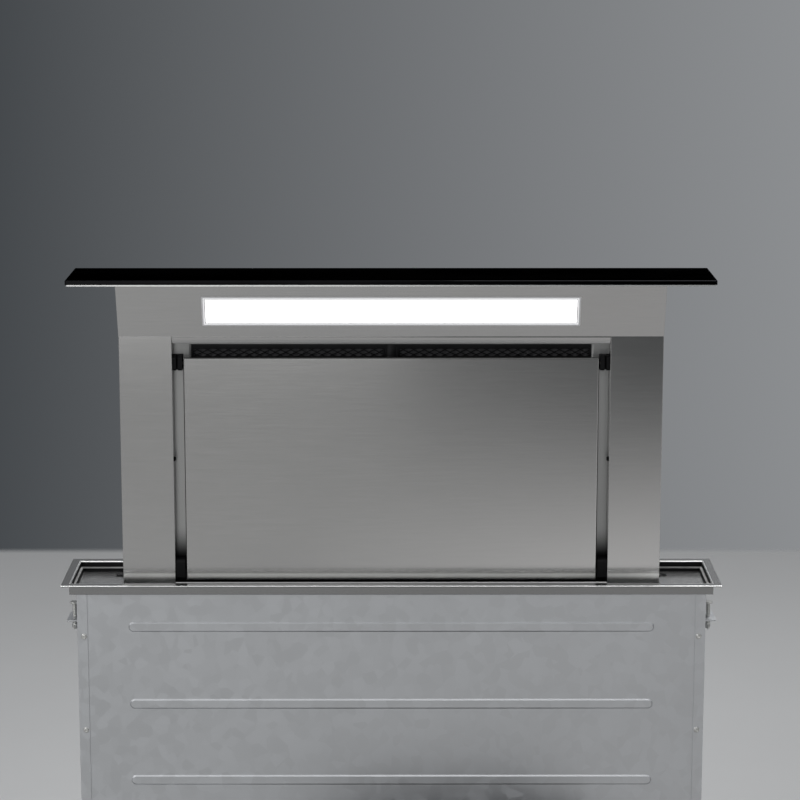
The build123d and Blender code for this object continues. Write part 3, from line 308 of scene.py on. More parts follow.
# Painted light at single edges: a painted highlight on the flange rim and at the foot of panel and
# pillars, painted shade on the panel edges and pillar returns, and painted shade that darkens the
# frame strips downwards.
PAINTED_HIGHLIGHT = (0.97, 0.97, 0.96)
PAINTED_EDGE_SHADE = (0.12, 0.12, 0.118)
PAINTED_FOOT_SHADE = (0.012, 0.012, 0.012)
SHARP = 0.05 * MM
rim_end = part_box("tray_frame")[0].y + 1.5 * MM
panel_low, panel_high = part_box("front_panel")
panel_top, panel_side = panel_high.z - 2.0 * MM, panel_high.x - 1.2 * MM
painted_foot_highlight = (panel_low.z + 10.5 * MM, panel_low.z + 7.5 * MM)
return_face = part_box("pillar_right")[0].x + 0.3 * MM
frame_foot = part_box("filter_frame")[0].z
PAINTED_LIGHT_TINTS = (
    ("flange_steel", "Y", rim_end + SHARP, rim_end - SHARP, PAINTED_HIGHLIGHT),
    ("panel_steel", "Z", panel_top - SHARP, panel_top + SHARP, PAINTED_EDGE_SHADE),
    ("panel_steel", "X", panel_side - SHARP, panel_side + SHARP, PAINTED_EDGE_SHADE),
    ("panel_steel", "Z", *painted_foot_highlight, PAINTED_HIGHLIGHT),
    ("pillar_steel", "Z", *painted_foot_highlight, PAINTED_HIGHLIGHT),
    ("pillar_steel", "X", return_face + SHARP, return_face - SHARP, PAINTED_EDGE_SHADE),
    ("frame_steel", "Z", frame_foot + 76.0 * MM, frame_foot + 30.0 * MM, PAINTED_FOOT_SHADE),
)
for name, *values in PAINTED_LIGHT_TINTS:
    paint_light_past(materials[name], *values)

for name, node in nodes.items():
    node.data.materials.clear()
    node.data.materials.append(materials[look_of[name]])


# ---------- mesh helpers ----------

def solids_of(node):
    """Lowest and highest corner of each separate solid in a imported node, from left to right."""
    shape = bmesh.new()
    shape.from_mesh(nodes[node].data)
    bmesh.ops.remove_doubles(shape, verts=shape.verts, dist=0.01 * MM)
    unseen = set(shape.verts)
    boxes = []
    while unseen:
        joined = [unseen.pop()]
        for vert in joined:
            for neighbour in (edge.other_vert(vert) for edge in vert.link_edges):
                if neighbour in unseen:
                    unseen.remove(neighbour)
                    joined.append(neighbour)
        columns = list(zip(*(vert.co for vert in joined)))
        boxes.append((Vector(map(min, columns)), Vector(map(max, columns))))
    shape.free()
    return sorted(boxes, key=lambda corners: tuple(round(value, 5) for value in corners[0]))


def in_mm(*pairs):
    """Pairs of measures in mm, as metres."""
    return [(first * MM, second * MM) for first, second in pairs]


def grid(low, high, count):
    return [low + (high - low) * i / (count - 1) for i in range(count)]


def standing(low, high):
    """The frame in the middle of a box's foot."""
    return Matrix.Translation(((low.x + high.x) / 2, (low.y + high.y) / 2, low.z))


def facing(axis, place):
    """The frame of a form that stands on `place` with its own Z along `axis`."""
    turn = Vector(axis).to_track_quat("Z", "Y").to_matrix().to_4x4()
    return Matrix.Translation(place) @ turn


def circle(spot, radius, height, count):
    """Points round a circle at one height of a frame."""
    angles = [2 * pi * i / count for i in range(count)]
    return [spot @ Vector((radius * cos(a), radius * sin(a), height)) for a in angles]


def rectangle(left, bottom, right, top):
    return (left, bottom), (right, bottom), (right, top), (left, top)


def add_rings(shape, rings, closed=False):
    """Skins a row of equally long rings of points. An open row gets a cap at both ends."""
    loops = [[shape.verts.new(point) for point in ring] for ring in rings]
    pairs = list(zip(loops, loops[1:]))
    if closed:
        pairs.append((loops[-1], loops[0]))
    for first, second in pairs:
        for i in range(len(first)):
            j = (i + 1) % len(first)
            shape.faces.new((first[i], first[j], second[j], second[i]))
    if not closed:
        shape.faces.new(reversed(loops[0]))
        shape.faces.new(loops[-1])


def add_turned(shape, spot, profile, segments):
    """A turned form: profile is a row of (radius, height) in metres, along the frame's Z."""
    add_rings(shape, [circle(spot, radius, height, segments) for radius, height in profile])


def add_wire(shape, points, radius):
    rings = []
    for i, point in enumerate(points):
        along = points[min(i + 1, len(points) - 1)] - points[max(i - 1, 0)]
        rings.append(circle(facing(along, point), radius, 0, 10))
    add_rings(shape, rings)


def add_border(shape, base, *profile):
    """A mitred border round a base of (frame, half width, half height) on the frame's XY: profile
    is a closed row of (distance out, height) in mm."""
    spot, wide, tall = base
    rings = []
    for out, height in in_mm(*profile):
        corners = rectangle(-wide - out, -tall - out, wide + out, tall + out)
        rings.append([spot @ Vector((x, y, height)) for x, y in corners])
    add_rings(shape, rings, closed=True)


def add_slab(shape, outline, start, end):
    """A closed outline of (y, z) in mm, drawn out along X from start to end, in mm too."""
    ends = (start * MM, end * MM)
    add_rings(shape, [[Vector((x, y, z)) for y, z in in_mm(*outline)] for x in ends])


def add_object(name, data):
    item = bpy.data.objects.new(name, data)
    bpy.context.scene.collection.objects.link(item)
    return item


def finish_piece(name, shape, body, slot, stands_for=(), bevel=0.0, smooth=True, look=None):
    """Turns a built shape into a piece on a body. look is its material, if not its slot's."""
    bmesh.ops.recalc_face_normals(shape, faces=shape.faces)
    mesh = bpy.data.meshes.new(name)
    shape.to_mesh(mesh)
    shape.free()
    if smooth:
        mesh.shade_smooth()
        mesh.set_sharp_from_angle(angle=pi / 5)
    mesh.materials.append(materials[look or slot])
    piece = add_object(name, mesh)
    if bevel:
        rounding = piece.modifiers.new("edges", "BEVEL")
        rounding.width = bevel
        rounding.segments = 2
        rounding.limit_method = "ANGLE"
        rounding.harden_normals = True
    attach(piece, body)
    if stands_for:
        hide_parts(*stands_for)


# ---------- fasteners ----------

def add_screw(shape, place, axis, radius, height):
    """A pan head with a round rim and a dished recess. Its sizes are in mm."""
    dome = in_mm((radius, 0), (radius, 0.45 * height), (0.88 * radius, 0.82 * height),
                 (0.6 * radius, height), (0.5 * radius, height), (0.42 * radius, 0.6 * height))
    add_turned(shape, facing(axis, place), dome, 18)


def add_thread(shape, spot, radius, start, end, pitch=1.0):
    """A threaded rod, as a row of grooves. Its sizes are in mm."""
    root = 0.84 * radius
    profile = [(0.82 * radius, start)]
    for low in (start + i * pitch for i in range(int((end - start) / pitch))):
        profile += [(radius, low + 0.35 * pitch), (radius, low + 0.65 * pitch)]
        profile.append((root, low + 0.98 * pitch))
    add_turned(shape, spot, in_mm(*profile), 20)


def add_nut(shape, spot, radius, start, end):
    """A hexagonal nut with chamfered ends. Its sizes are in mm."""
    chamfer, flat = 0.15 * (end - start), 0.86 * radius
    profile = in_mm((flat, start), (radius, start + chamfer), (radius, end - chamfer), (flat, end))
    add_turned(shape, spot, profile, 6)


def make_casing_screws():
    """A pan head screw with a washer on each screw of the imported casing."""
    washer, washer_height = in_mm((4.0, 0), (4.0, 0.3), (3.6, 0.5)), 0.5 * MM
    front, back = (corner.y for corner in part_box("casing_side_left"))
    shape = bmesh.new()
    for low, high in solids_of("casing_screws"):
        middle = (low + high) / 2
        at_front = middle.y < (front + back) / 2
        seat = Vector((middle.x, front if at_front else back, middle.z))
        axis = -Y_AXIS if at_front else Y_AXIS
        add_turned(shape, facing(axis, seat), washer, 24)
        add_screw(shape, seat + axis * washer_height, axis, 3.4, 1.5)
        add_thread(shape, facing(-axis, seat), 2.0, 0, 6.0)
    finish_piece("casing_screw_set", shape, "casing", "fastener_steel", ["casing_screws"])


def make_feet():
    """Levelling feet: a rubber sole, a pressed plate, a threaded stem and a lock nut."""
    metal, soles = bmesh.new(), bmesh.new()
    for low, high in solids_of("levelling_feet"):
        spot = standing(low, high)
        wide = (high.x - low.x) / 2 / MM
        sole = in_mm((0.90 * wide, 0), (wide, 0.6), (wide, 2.2), (0.95 * wide, 2.6))
        edge = 0.94 * wide
        plate = in_mm((edge, 2.6), (edge, 3.4), (0.55 * wide, 4.6), (0.42 * wide, 6.0))
        add_turned(soles, spot, sole, 40)
        add_turned(metal, spot, plate, 40)
        add_thread(metal, spot, 4.0, 5.5, (high.z - low.z) / MM, 1.25)
        add_nut(metal, spot, 7.4, 24.0, 30.0)
    finish_piece("foot_soles", soles, "casing", "seal_rubber")
    finish_piece("foot_set", metal, "casing", "fastener_steel", ["levelling_feet"])


def make_clamp_screws():
    """Clamp screws with a swivel pad at the top and a wing head at the bottom."""
    hub = in_mm((2.6, 0), (3.6, 1.0), (3.6, 7.0), (3.0, 8.0))
    wing = in_mm((2.6, -0.6), (3.4, 0), (2.6, 0.6))
    wing_shape = Matrix.Rotation(pi / 2, 4, "Y") @ Matrix.Diagonal((1.1, 0.75, 1.0, 1))
    shape = bmesh.new()
    for low, high in solids_of("clamp_screws"):
        spot = standing(low, high)
        tall = (high.z - low.z) / MM
        pad = in_mm((2.4, tall - 3.2), (5.8, tall - 2.4), (6.0, tall - 0.5), (5.6, tall))
        add_thread(shape, spot, 2.9, 6.0, tall - 3.0)
        add_turned(shape, spot, pad, 28)
        add_turned(shape, spot, hub, 24)
        for side in (-1, 1):
            root = Matrix.Translation((0, side * 4.6 * MM, 3.0 * MM))
            add_turned(shape, spot @ root @ wing_shape, wing, 20)
    finish_piece("clamp_screw_set", shape, "casing", "fastener_steel", ["clamp_screws"])


def make_fixing_screws():
    """Small screws that hold the covers, the duct collar and the column's back."""
    still, moving = bmesh.new(), bmesh.new()
    inset = 8.0 * MM
    low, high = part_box("control_lid")
    for x in (low.x + inset, high.x - inset):
        for z in (low.z + inset, high.z - inset):
            add_screw(still, Vector((x, low.y, z)), -Y_AXIS, 2.6, 1.2)
    low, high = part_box("outlet_collar")
    flange = 4.0 * MM
    for y in (low.y + inset, high.y - inset):
        for z in (low.z + inset, high.z - inset):
            add_screw(still, Vector((low.x + flange, y, z)), X_AXIS, 2.6, 1.4)
    for place in rim_places("fan_cover", 22, 2.6 * MM):
        add_screw(still, place, -Y_AXIS, 2.0, 1.1)
    low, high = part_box("rear_skin")
    side, end = 6.0 * MM, 20.0 * MM
    for x in (low.x + side, high.x - side):
        for z in grid(low.z + end, high.z - end, 6):
            add_screw(moving, Vector((x, high.y, z)), Y_AXIS, 2.6, 1.2)
    low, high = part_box("head_shell")
    side, above = 30.0 * MM, 12.0 * MM
    for x in grid(low.x + side, high.x - side, 8):
        add_screw(moving, Vector((x, high.y, low.z + above)), Y_AXIS, 2.6, 1.2)
    finish_piece("fixing_screws", still, "casing", "fastener_steel")
    finish_piece("column_screws", moving, "column", "fastener_steel")


def rim_places(node, count, inset):
    """Places round the fan, a little inside the outline of a flat front plate."""
    nearest, furthest, half_width = 90.0 * MM, 160.0 * MM, 4.0 * MM
    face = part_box(node)[0].y
    fan_low, fan_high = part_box("impeller")
    middle = Vector((0, face, (fan_low.z + fan_high.z) / 2))
    corners = [v.co - middle for v in nodes[node].data.vertices if v.co.y < face + 0.1 * MM]
    places = []
    for k in range(count):
        angle = 2 * pi * (k + 0.5) / count
        ray = Vector((cos(angle), 0, sin(angle)))
        across = Vector((-sin(angle), 0, cos(angle)))
        near = [corner.dot(ray) for corner in corners if abs(corner.dot(across)) < half_width]
        reach = max(near, default=0)
        if reach > nearest:
            places.append(middle + ray * (min(reach, furthest) - inset))
    return places


# ---------- column pieces ----------

def make_grease_filter(node):
    """An aluminium cassette: a folded rim, expanded mesh on both sides of a core, and a pull."""
    low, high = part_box(node)
    middle = (low + high) / 2
    rim, depth = 9.0 * MM, (high.y - low.y) / MM
    inner = ((high.x - low.x) / 2 - rim, (high.z - low.z) / 2 - rim)
    base = (facing(Y_AXIS, Vector((middle.x, low.y, middle.z))), *inner)
    border = bmesh.new()
    add_border(border, base, (9, 0), (9, depth), (0, depth), (0, 0))
    add_border(border, base, (0, 0.8), (0, 1.8), (-2, 1.8), (-2, 0.8))
    finish_piece(node + "_rim", border, "column", "filter_aluminium", [node], bevel=0.5 * MM)

    strands = bmesh.new()
    add_expanded_mesh(strands, middle, inner, low.y + 2.2 * MM, 0)
    add_expanded_mesh(strands, middle, inner, high.y - 2.8 * MM, 1)
    finish_piece(node + "_mesh", strands, "column", "filter_aluminium", smooth=False)

    core = bmesh.new()
    waves, ripple, gauze = 40, 0.8 * MM, 0.4 * MM
    for y in (middle.y - 1.0 * MM, middle.y + 1.0 * MM):
        rings = []
        for i in range(waves + 1):
            x, front = low.x + rim + 2 * inner[0] * i / waves, y + ripple * (-1) ** i
            corners = rectangle(low.z + rim, front, high.z - rim, front + gauze)
            rings.append([Vector((x, layer, z)) for z, layer in corners])
        add_rings(core, rings)
    finish_piece(node + "_core", core, "column", "core_foam", smooth=False)

    pull = bmesh.new()
    reach, root = 14.0 * MM, Vector((middle.x, low.y, low.z + rim))
    grip = []
    for angle in (pi * i / 14 for i in range(15)):
        out, up = 0.3 * MM + 1.2 * MM * sin(angle), 10.0 * MM * sin(angle)
        grip.append(root + Vector((reach * cos(angle), -out, up)))
    add_wire(pull, grip, 1.1 * MM)
    for side in (-1, 1):
        lug = root + Vector((side * reach, 0, -2.0 * MM))
        add_turned(pull, facing(-Y_AXIS, lug), in_mm((3.0, 0), (3.0, 0.8), (2.2, 1.4)), 18)
    finish_piece(node + "_pull", pull, "column", "fastener_steel")


def add_expanded_mesh(shape, middle, half, layer, shift):
    """A sheet of expanded metal: rows of zigzag strands that meet at every other bend."""
    cell_x, cell_z = 14.0 * MM, 7.0 * MM
    strand, thick, lean = 1.3 * MM, 0.7 * MM, 0.35 * MM
    columns, rows = int(2 * half[0] / (cell_x / 2)), int(2 * half[1] / (cell_z / 2))
    step_x, step_z = 2 * half[0] / columns, 2 * half[1] / rows
    section = ((0, -strand / 2), (thick, -strand / 2), (thick, strand / 2), (0, strand / 2))
    for row in range(rows):
        ribbon = []
        for column in range(columns + 1):
            bend = 1 if (column + row + shift) % 2 else -1
            x = middle.x - half[0] + column * step_x
            z = middle.z - half[1] + (row + 0.5 + 0.42 * bend) * step_z
            ribbon.append([Vector((x, layer + lean * bend + dy, z + dz)) for dy, dz in section])
        add_rings(shape, ribbon)


def lamp_plane():
    """The frame of the lamp's front face, its Z pointing out, and half its width and height."""
    mesh = nodes["lamp_diffuser"].data
    forward = (face for face in mesh.polygons if face.normal.y < -0.5)
    front = max(forward, key=lambda face: face.area)
    out = front.normal.copy()
    up = out.cross(X_AXIS).normalized()
    on_face = mesh.vertices[front.vertices[0]].co
    corners = [v.co for v in mesh.vertices if (v.co - on_face).dot(out) > -0.05 * MM]
    spot = Matrix((X_AXIS, up, out)).transposed().to_4x4()
    spot.translation = sum(corners, Vector()) / len(corners)
    spans = [[corner.dot(axis) for corner in corners] for axis in (X_AXIS, up)]
    return spot, *((max(span) - min(span)) / 2 for span in spans)


def make_lamp_bezel():
    """A frosted rim that glows with the lamp, its thin outer lip, which glows as a painted halo,
    and the dark joint inside it.
    """
    lamp = lamp_plane()
    rim, lip, joint = bmesh.new(), bmesh.new(), bmesh.new()
    add_border(rim, lamp, (0.9, -8), (0.9, 0.3), (1.2, 0.9), (2.3, 1.0), (2.7, 0.7), (2.7, -0.3),
               (1.4, -0.3), (1.4, -8))
    add_border(lip, lamp, (2.7, 0.06), (2.7, 0.6), (3.4, 0.5), (4.8, 0.15), (4.8, 0.06))
    add_border(joint, lamp, (0.1, -3), (0.1, -0.1), (0.9, -0.1), (0.9, -3))
    finish_piece("lamp_rim", rim, "column", "lamp_trim", ["lamp_bezel"])
    finish_piece("lamp_lip", lip, "column", "lamp_trim", look="painted_halo_glow")
    finish_piece("lamp_joint", joint, "column", "seal_rubber", smooth=False)


def make_suction_frame():
    """The sheet frame behind the panel, with its inner edges rolled back and painted shade
    darkening it towards its foot, and its mullion, black as painted shade.
    """
    low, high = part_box("filter_frame")
    border, roll, sheet = 26.0 * MM, 5.0 * MM, 1.4 * MM
    foot, head = 14.0 * MM, 5.0 * MM
    profile = [(0, 0), (border - roll, 0)]
    for angle in (pi / 8 * i for i in range(1, 5)):
        profile.append((border - roll + roll * sin(angle), roll * (1 - cos(angle))))
    profile += [(border - 1.2 * MM, roll), (border - roll, sheet), (0, sheet)]
    rings = []
    for inward, back in profile:
        bottom, top = low.z + foot * inward / border, high.z - head * inward / border
        corners = rectangle(low.x + inward, bottom, high.x - inward, top)
        rings.append([Vector((x, low.y + back, z)) for x, z in corners])
    frame_shape, mullion = bmesh.new(), bmesh.new()
    add_rings(frame_shape, rings, closed=True)
    finish_piece("suction_frame", frame_shape, "column", "inner_steel", ["filter_frame"],
                 look="frame_steel")
    outline = in_mm((-6, 1.4), (-4.2, 0.2), (4.2, 0.2), (6, 1.4), (6, 1.5), (-6, 1.5))
    overlap = 2.0 * MM
    ends = (low.z + foot - overlap, high.z - head + overlap)
    add_rings(mullion, [[Vector((x, low.y + back, z)) for x, back in outline] for z in ends])
    # Black as painted shade, so that the mullion sinks into the dark slot.
    finish_piece("frame_mullion", mullion, "column", "inner_steel", look="blackened_steel")


def make_rail_fold():
    """The rounded fold that runs from under the head back to the suction slot."""
    low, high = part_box("top_rail")
    start_y, start_z = low.y / MM - 0.02, high.z / MM - 0.4
    end_y, end_z = low.y / MM + 4.2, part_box("filter_frame")[1].z / MM + 0.05
    swell, steps = 1.6, 8
    outline = []
    for share in (i / steps for i in range(steps + 1)):
        bulge = swell * share * (1 - share)
        outline.append((start_y + share * (end_y - start_y) - 0.74 * bulge,
                        start_z + share * (end_z - start_z) - 0.67 * bulge))
    outline += [(end_y + 4.4, end_z), (start_y + 0.5, start_z)]
    shape = bmesh.new()
    add_slab(shape, outline, low.x / MM + 0.1, high.x / MM - 0.1)
    finish_piece("rail_fold", shape, "column", slot_of["top_rail"], look="rail_steel")


# The gap beside the panel, in mm from the middle.
GAP_INNER, GAP_OUTER = 283.2, 296.8
# The back of the blocks in that gap, and the line that the hinge pins turn on.
BLOCK_BACK, PIN_Y, PIN_Z = 83.0, 69.4, 708.6


def make_panel_catches():
    """Catches beside the panel's head, each with a sprung ball, and plain stops lower down."""
    front, bottom, top, corner = 64.0, 991.0, 1011.0, 2.5
    spine_start, spine_end, spine_depth = 289.6, 292.0, 8.0
    stops_below = 900.0 * MM
    cheek = ((BLOCK_BACK, bottom), (BLOCK_BACK, top), (front + corner, top), (front, top - corner),
             (front, bottom + corner), (front + corner, bottom))
    spine = ((BLOCK_BACK, bottom), (BLOCK_BACK, top), (front + spine_depth, top),
             (front + spine_depth, bottom))
    ball = in_mm((2.6, 0), (2.2, 0.4), (1.4, 0.8), (0.4, 0.9))
    stem = in_mm((3.2, 0), (3.2, 1.0), (2.4, 1.6), (2.4, 2.4))
    blocks, balls, stops = bmesh.new(), bmesh.new(), bmesh.new()
    for side in (-1, 1):
        add_slab(blocks, cheek, side * GAP_INNER, side * spine_start)
        add_slab(blocks, spine, side * spine_start, side * spine_end)
        add_slab(blocks, cheek, side * spine_end, side * GAP_OUTER)
        seat = Vector((side * GAP_INNER, PIN_Y, (bottom + top) / 2)) * MM
        add_turned(balls, facing(-side * X_AXIS, seat), ball, 18)
    for low, high in solids_of("panel_catches"):
        if high.z < stops_below:
            side, wall = (1, high.x) if low.x > 0 else (-1, low.x)
            seat = Vector((wall, (low.y + high.y) / 2, (low.z + high.z) / 2))
            add_turned(stops, facing(-side * X_AXIS, seat), stem, 20)
    finish_piece("catch_blocks", blocks, "column", "inner_steel", ["panel_catches"],
                 bevel=0.5 * MM, look="black_nylon")
    finish_piece("catch_balls", balls, "column", "fastener_steel")
    finish_piece("side_stops", stops, "column", "inner_steel", look="black_nylon")


def make_hinge_blocks():
    """Black bearing blocks at the panel's foot, each open below round its hinge pin."""
    front, bottom, top, bore, corner = 62.6, 701.2, 727.0, 3.2, 5.0
    outline = [(front, bottom), (PIN_Y - bore, bottom)]
    for angle in (pi / 10 * i for i in range(11)):
        outline.append((PIN_Y - bore * cos(angle), PIN_Z + bore * sin(angle)))
    outline += [(PIN_Y + bore, bottom), (BLOCK_BACK, bottom)]
    turns = [pi / 8 * i for i in range(5)]
    back_y, front_y, corner_z = BLOCK_BACK - corner, front + corner, top - corner
    outline += [(back_y + corner * cos(a), corner_z + corner * sin(a)) for a in turns]
    outline += [(front_y - corner * sin(a), corner_z + corner * cos(a)) for a in turns]
    shape = bmesh.new()
    for side in (-1, 1):
        add_slab(shape, outline, side * GAP_INNER, side * GAP_OUTER)
    finish_piece("hinge_blocks", shape, "column", "inner_steel", ["hinge_brackets"],
                 bevel=0.5 * MM, look="black_nylon")


# ---------- tray pieces ----------

def add_edge_run(shape, low, high, z, profile, corners, closed=False):
    """A mitred strip along corners of a rectangle, each (side on X, side on Y): profile is a row
    of (distance inwards, height) in mm."""
    rings = []
    for side_x, side_y in corners:
        x = high.x if side_x > 0 else low.x
        y = high.y if side_y > 0 else low.y
        rings.append([Vector((x - side_x * inward, y - side_y * inward, z + height))
                      for inward, height in in_mm(*profile)])
    add_rings(shape, rings, closed)


# The notch beside the column, in mm from the middle.
NOTCH_INNER, NOTCH_OUTER = 374.2, 383.0


def make_tray_trims():
    """A polished bevel on the flange's inner edge, black strips of painted shade on three walls of
    the recess, on its ledge and round the notches, and a pale strip on the fourth wall that glows
    as painted light."""
    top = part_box("tray_frame")[1].z
    low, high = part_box("tray_floor")
    around, front = ((-1, -1), (-1, 1), (1, 1), (1, -1)), ((-1, -1), (1, -1))
    bevel = ((-1.4, 0.05), (-0.5, 0.05), (0.3, -0.4), (0.6, -1.0), (0.6, -1.6), (0.05, -1.6),
             (0.05, -0.1), (-1.4, -0.1))
    wall = ((0.05, -1.7), (0.7, -1.7), (0.7, -8.4), (0.05, -8.4))
    ledge = ((3.45, -9.8), (3.8, -9.6), (4.1, -9.9), (4.1, -13.9), (3.45, -13.9))
    lip = ((-2.2, 0.02), (0.0, 0.02), (0.0, 0.6), (-0.3, 0.8), (-1.9, 0.8), (-2.2, 0.5))
    bevels, strip, liner, notch_shade_rims = bmesh.new(), bmesh.new(), bmesh.new(), bmesh.new()
    add_edge_run(bevels, low, high, top, bevel, around, closed=True)
    add_edge_run(strip, low, high, top, wall, around)
    add_edge_run(strip, low, high, top, ledge, around)
    add_edge_run(liner, low, high, top, wall, front)
    rear, deep, ledge_top = high.y - 19.0 * MM, 10.0 * MM, top - 14.0 * MM
    for side in (-1, 1):
        left, right = sorted((side * NOTCH_INNER * MM, side * NOTCH_OUTER * MM))
        ends = Vector((left, rear - deep, 0)), Vector((right, rear, 0))
        corners = ((-side, -1), (side, -1), (side, 1), (-side, 1))
        add_edge_run(notch_shade_rims, *ends, ledge_top, lip, corners)
    finish_piece("flange_bevels", bevels, "casing", "tray_steel", look="polished_edge")
    # The strip and the notch rims are black as painted shade; the liner glows as painted light.
    for name, shape, look in (("recess_painted_shade_strip", strip, "black_nylon"),
                              ("recess_liner_painted_glow", liner, "painted_glow_liner"),
                              ("notch_painted_shade_rims", notch_shade_rims, "black_nylon")):
        finish_piece(name, shape, "casing", "seal_rubber", smooth=False, look=look)


# ---------- lift pieces ----------

def add_belt(shape, low, high):
    """A closed toothed belt: a smooth back, with trapezoid teeth inside at the stock pitch."""
    pitch = 5.0 * MM
    tooth = ((0.0, 1.0), (0.3, 1.0), (0.42, 1.95), (0.58, 1.95), (0.7, 1.0), (0.85, 1.0))
    outer = (high.y - low.y) / 2
    middle = (high.y + low.y) / 2
    bottom, top = low.z + outer, high.z - outer
    straight, bend = top - bottom, pi * outer
    length = 2 * (straight + bend)
    teeth = round(length / pitch)

    def place(run, depth):
        """The (y, z) at a run along the belt and a depth under its back."""
        radius = outer - depth
        if run < straight:
            return middle + radius, bottom + run
        run -= straight
        if run < bend:
            return middle + radius * cos(run / outer), top + radius * sin(run / outer)
        run -= bend
        if run < straight:
            return middle - radius, top - run
        angle = (run - straight) / outer
        return middle - radius * cos(angle), bottom - radius * sin(angle)

    rings = []
    for index in range(teeth):
        for share, depth in tooth:
            run = (index + share) / teeth * length
            back, face = place(run, 0), place(run, depth * MM)
            rings.append([Vector((low.x, *back)), Vector((high.x, *back)),
                          Vector((high.x, *face)), Vector((low.x, *face))])
    add_rings(shape, rings, closed=True)


def make_belts():
    shape = bmesh.new()
    for low, high in solids_of("lift_belts"):
        add_belt(shape, low, high)
    finish_piece("toothed_belts", shape, "casing", "seal_rubber", ["lift_belts"], smooth=False)


def make_lift_motor():
    """A small motor: a ribbed can with a groove behind its end bell, and two bolts."""
    low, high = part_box("lift_motor")
    radius = (high.z - low.z) / 2
    length = (high.x - low.x) / MM
    spot = facing(X_AXIS, Vector((low.x, (low.y + high.y) / 2, (low.z + high.z) / 2)))
    wall, dip, groove = 0.97 * radius, 0.95 * radius, 0.92 * radius
    profile = [(0.45 * radius, 0), (0.86 * radius, 0.6), (wall, 3.0), (wall, 16.0)]
    profile += [(groove, 16.6), (groove, 18.0), (wall, 18.6)]
    ribs, first_rib, ribbed = 7, 22.0, length - 40.0
    for start in (first_rib + i * ribbed / ribs for i in range(ribs)):
        profile += [(dip, start), (radius, start + 1.0), (radius, start + 5.0), (dip, start + 6.0)]
    profile += [(wall, length - 12.0), (wall, length)]
    can, bolts = bmesh.new(), bmesh.new()
    add_turned(can, spot, [(reach, height * MM) for reach, height in profile], 56)
    add_turned(can, spot, [(0.2 * radius, 0), (0.2 * radius, 0.2 * MM)], 20)
    for side in (-1, 1):
        add_screw(bolts, spot @ Vector((side * 0.66 * radius, 0, 1.3 * MM)), -X_AXIS, 2.6, 1.2)
    finish_piece("lift_motor_can", can, "casing", "motor_metal", ["lift_motor"])
    finish_piece("lift_motor_bolts", bolts, "casing", "fastener_steel")


def make_gearbox_details():
    """The screws of the gearbox's cover and its oil plug."""
    low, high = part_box("lift_gearbox")
    shape = bmesh.new()
    inset, plug_y, plug_z = 5.5 * MM, 20.0 * MM, 28.0 * MM
    for y in (low.y + inset, high.y - inset):
        for z in (low.z + inset, high.z - 3 * inset):
            add_screw(shape, Vector((high.x, y, z)), X_AXIS, 2.8, 1.6)
    plug = Vector((high.x, low.y + plug_y, low.z + plug_z))
    add_nut(shape, facing(X_AXIS, plug), 5.5, 0, 3.0)
    finish_piece("gearbox_screws", shape, "casing", "fastener_steel")


# ---------- fan and control box ----------

def make_fan_motor():
    """A fan motor with a ribbed cap, a flange, a neck through the cover and a shaft."""
    low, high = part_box("fan_motor")
    radius = (high.x - low.x) / 2
    spot = facing(Y_AXIS, Vector(((low.x + high.x) / 2, low.y, (low.z + high.z) / 2)))
    body = (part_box("fan_cover")[0].y - low.y) / MM
    shoulder = body - 5.0
    cap = [(0.20, 1.6), (0.22, 0.4), (0.30, 0), (0.34, 1.2), (0.70, 1.8), (0.84, 4.5), (0.86, 8.0),
           (0.86, body - 6.0), (1.0, shoulder), (1.0, body)]
    profile = [(share * radius, height * MM) for share, height in cap]
    profile += in_mm((30.0, body), (30.0, body + 10.0), (5.0, body + 10.0))
    profile.append((5.0 * MM, high.y - low.y))
    motor, bolts = bmesh.new(), bmesh.new()
    add_turned(motor, spot, profile, 64)
    rib = ((0.40, 1.4), (0.74, 0.4), (0.93, 6.5), (0.95, shoulder), (0.80, shoulder), (0.60, 4.0))
    ribs, half_rib = 28, 0.9 * MM
    for turned in (spot @ Matrix.Rotation(2 * pi * i / ribs, 4, "Z") for i in range(ribs)):
        add_rings(motor, [[turned @ Vector((share * radius, side, height * MM))
                           for share, height in rib] for side in (-half_rib, half_rib)])
    for angle in (pi / 4 + i * pi / 2 for i in range(4)):
        reach = 0.93 * radius
        seat = spot @ Vector((reach * cos(angle), reach * sin(angle), shoulder * MM))
        add_screw(bolts, seat, -Y_AXIS, 2.4, 2.0)
    finish_piece("fan_motor_body", motor, "casing", "motor_metal", ["fan_motor"], bevel=0.3 * MM)
    finish_piece("fan_motor_bolts", bolts, "casing", "fastener_steel")


def rounded_corners(spot, half_x, half_y, radius, height):
    """The points of a rounded rectangle at one height of a frame."""
    points, steps = [], 5
    for i, (side_x, side_y) in enumerate(((1, 1), (-1, 1), (-1, -1), (1, -1))):
        for k in range(steps + 1):
            angle = pi / 2 * (i + k / steps)
            x = side_x * (half_x - radius) + radius * cos(angle)
            y = side_y * (half_y - radius) + radius * sin(angle)
            points.append(spot @ Vector((x, y, height)))
    return points


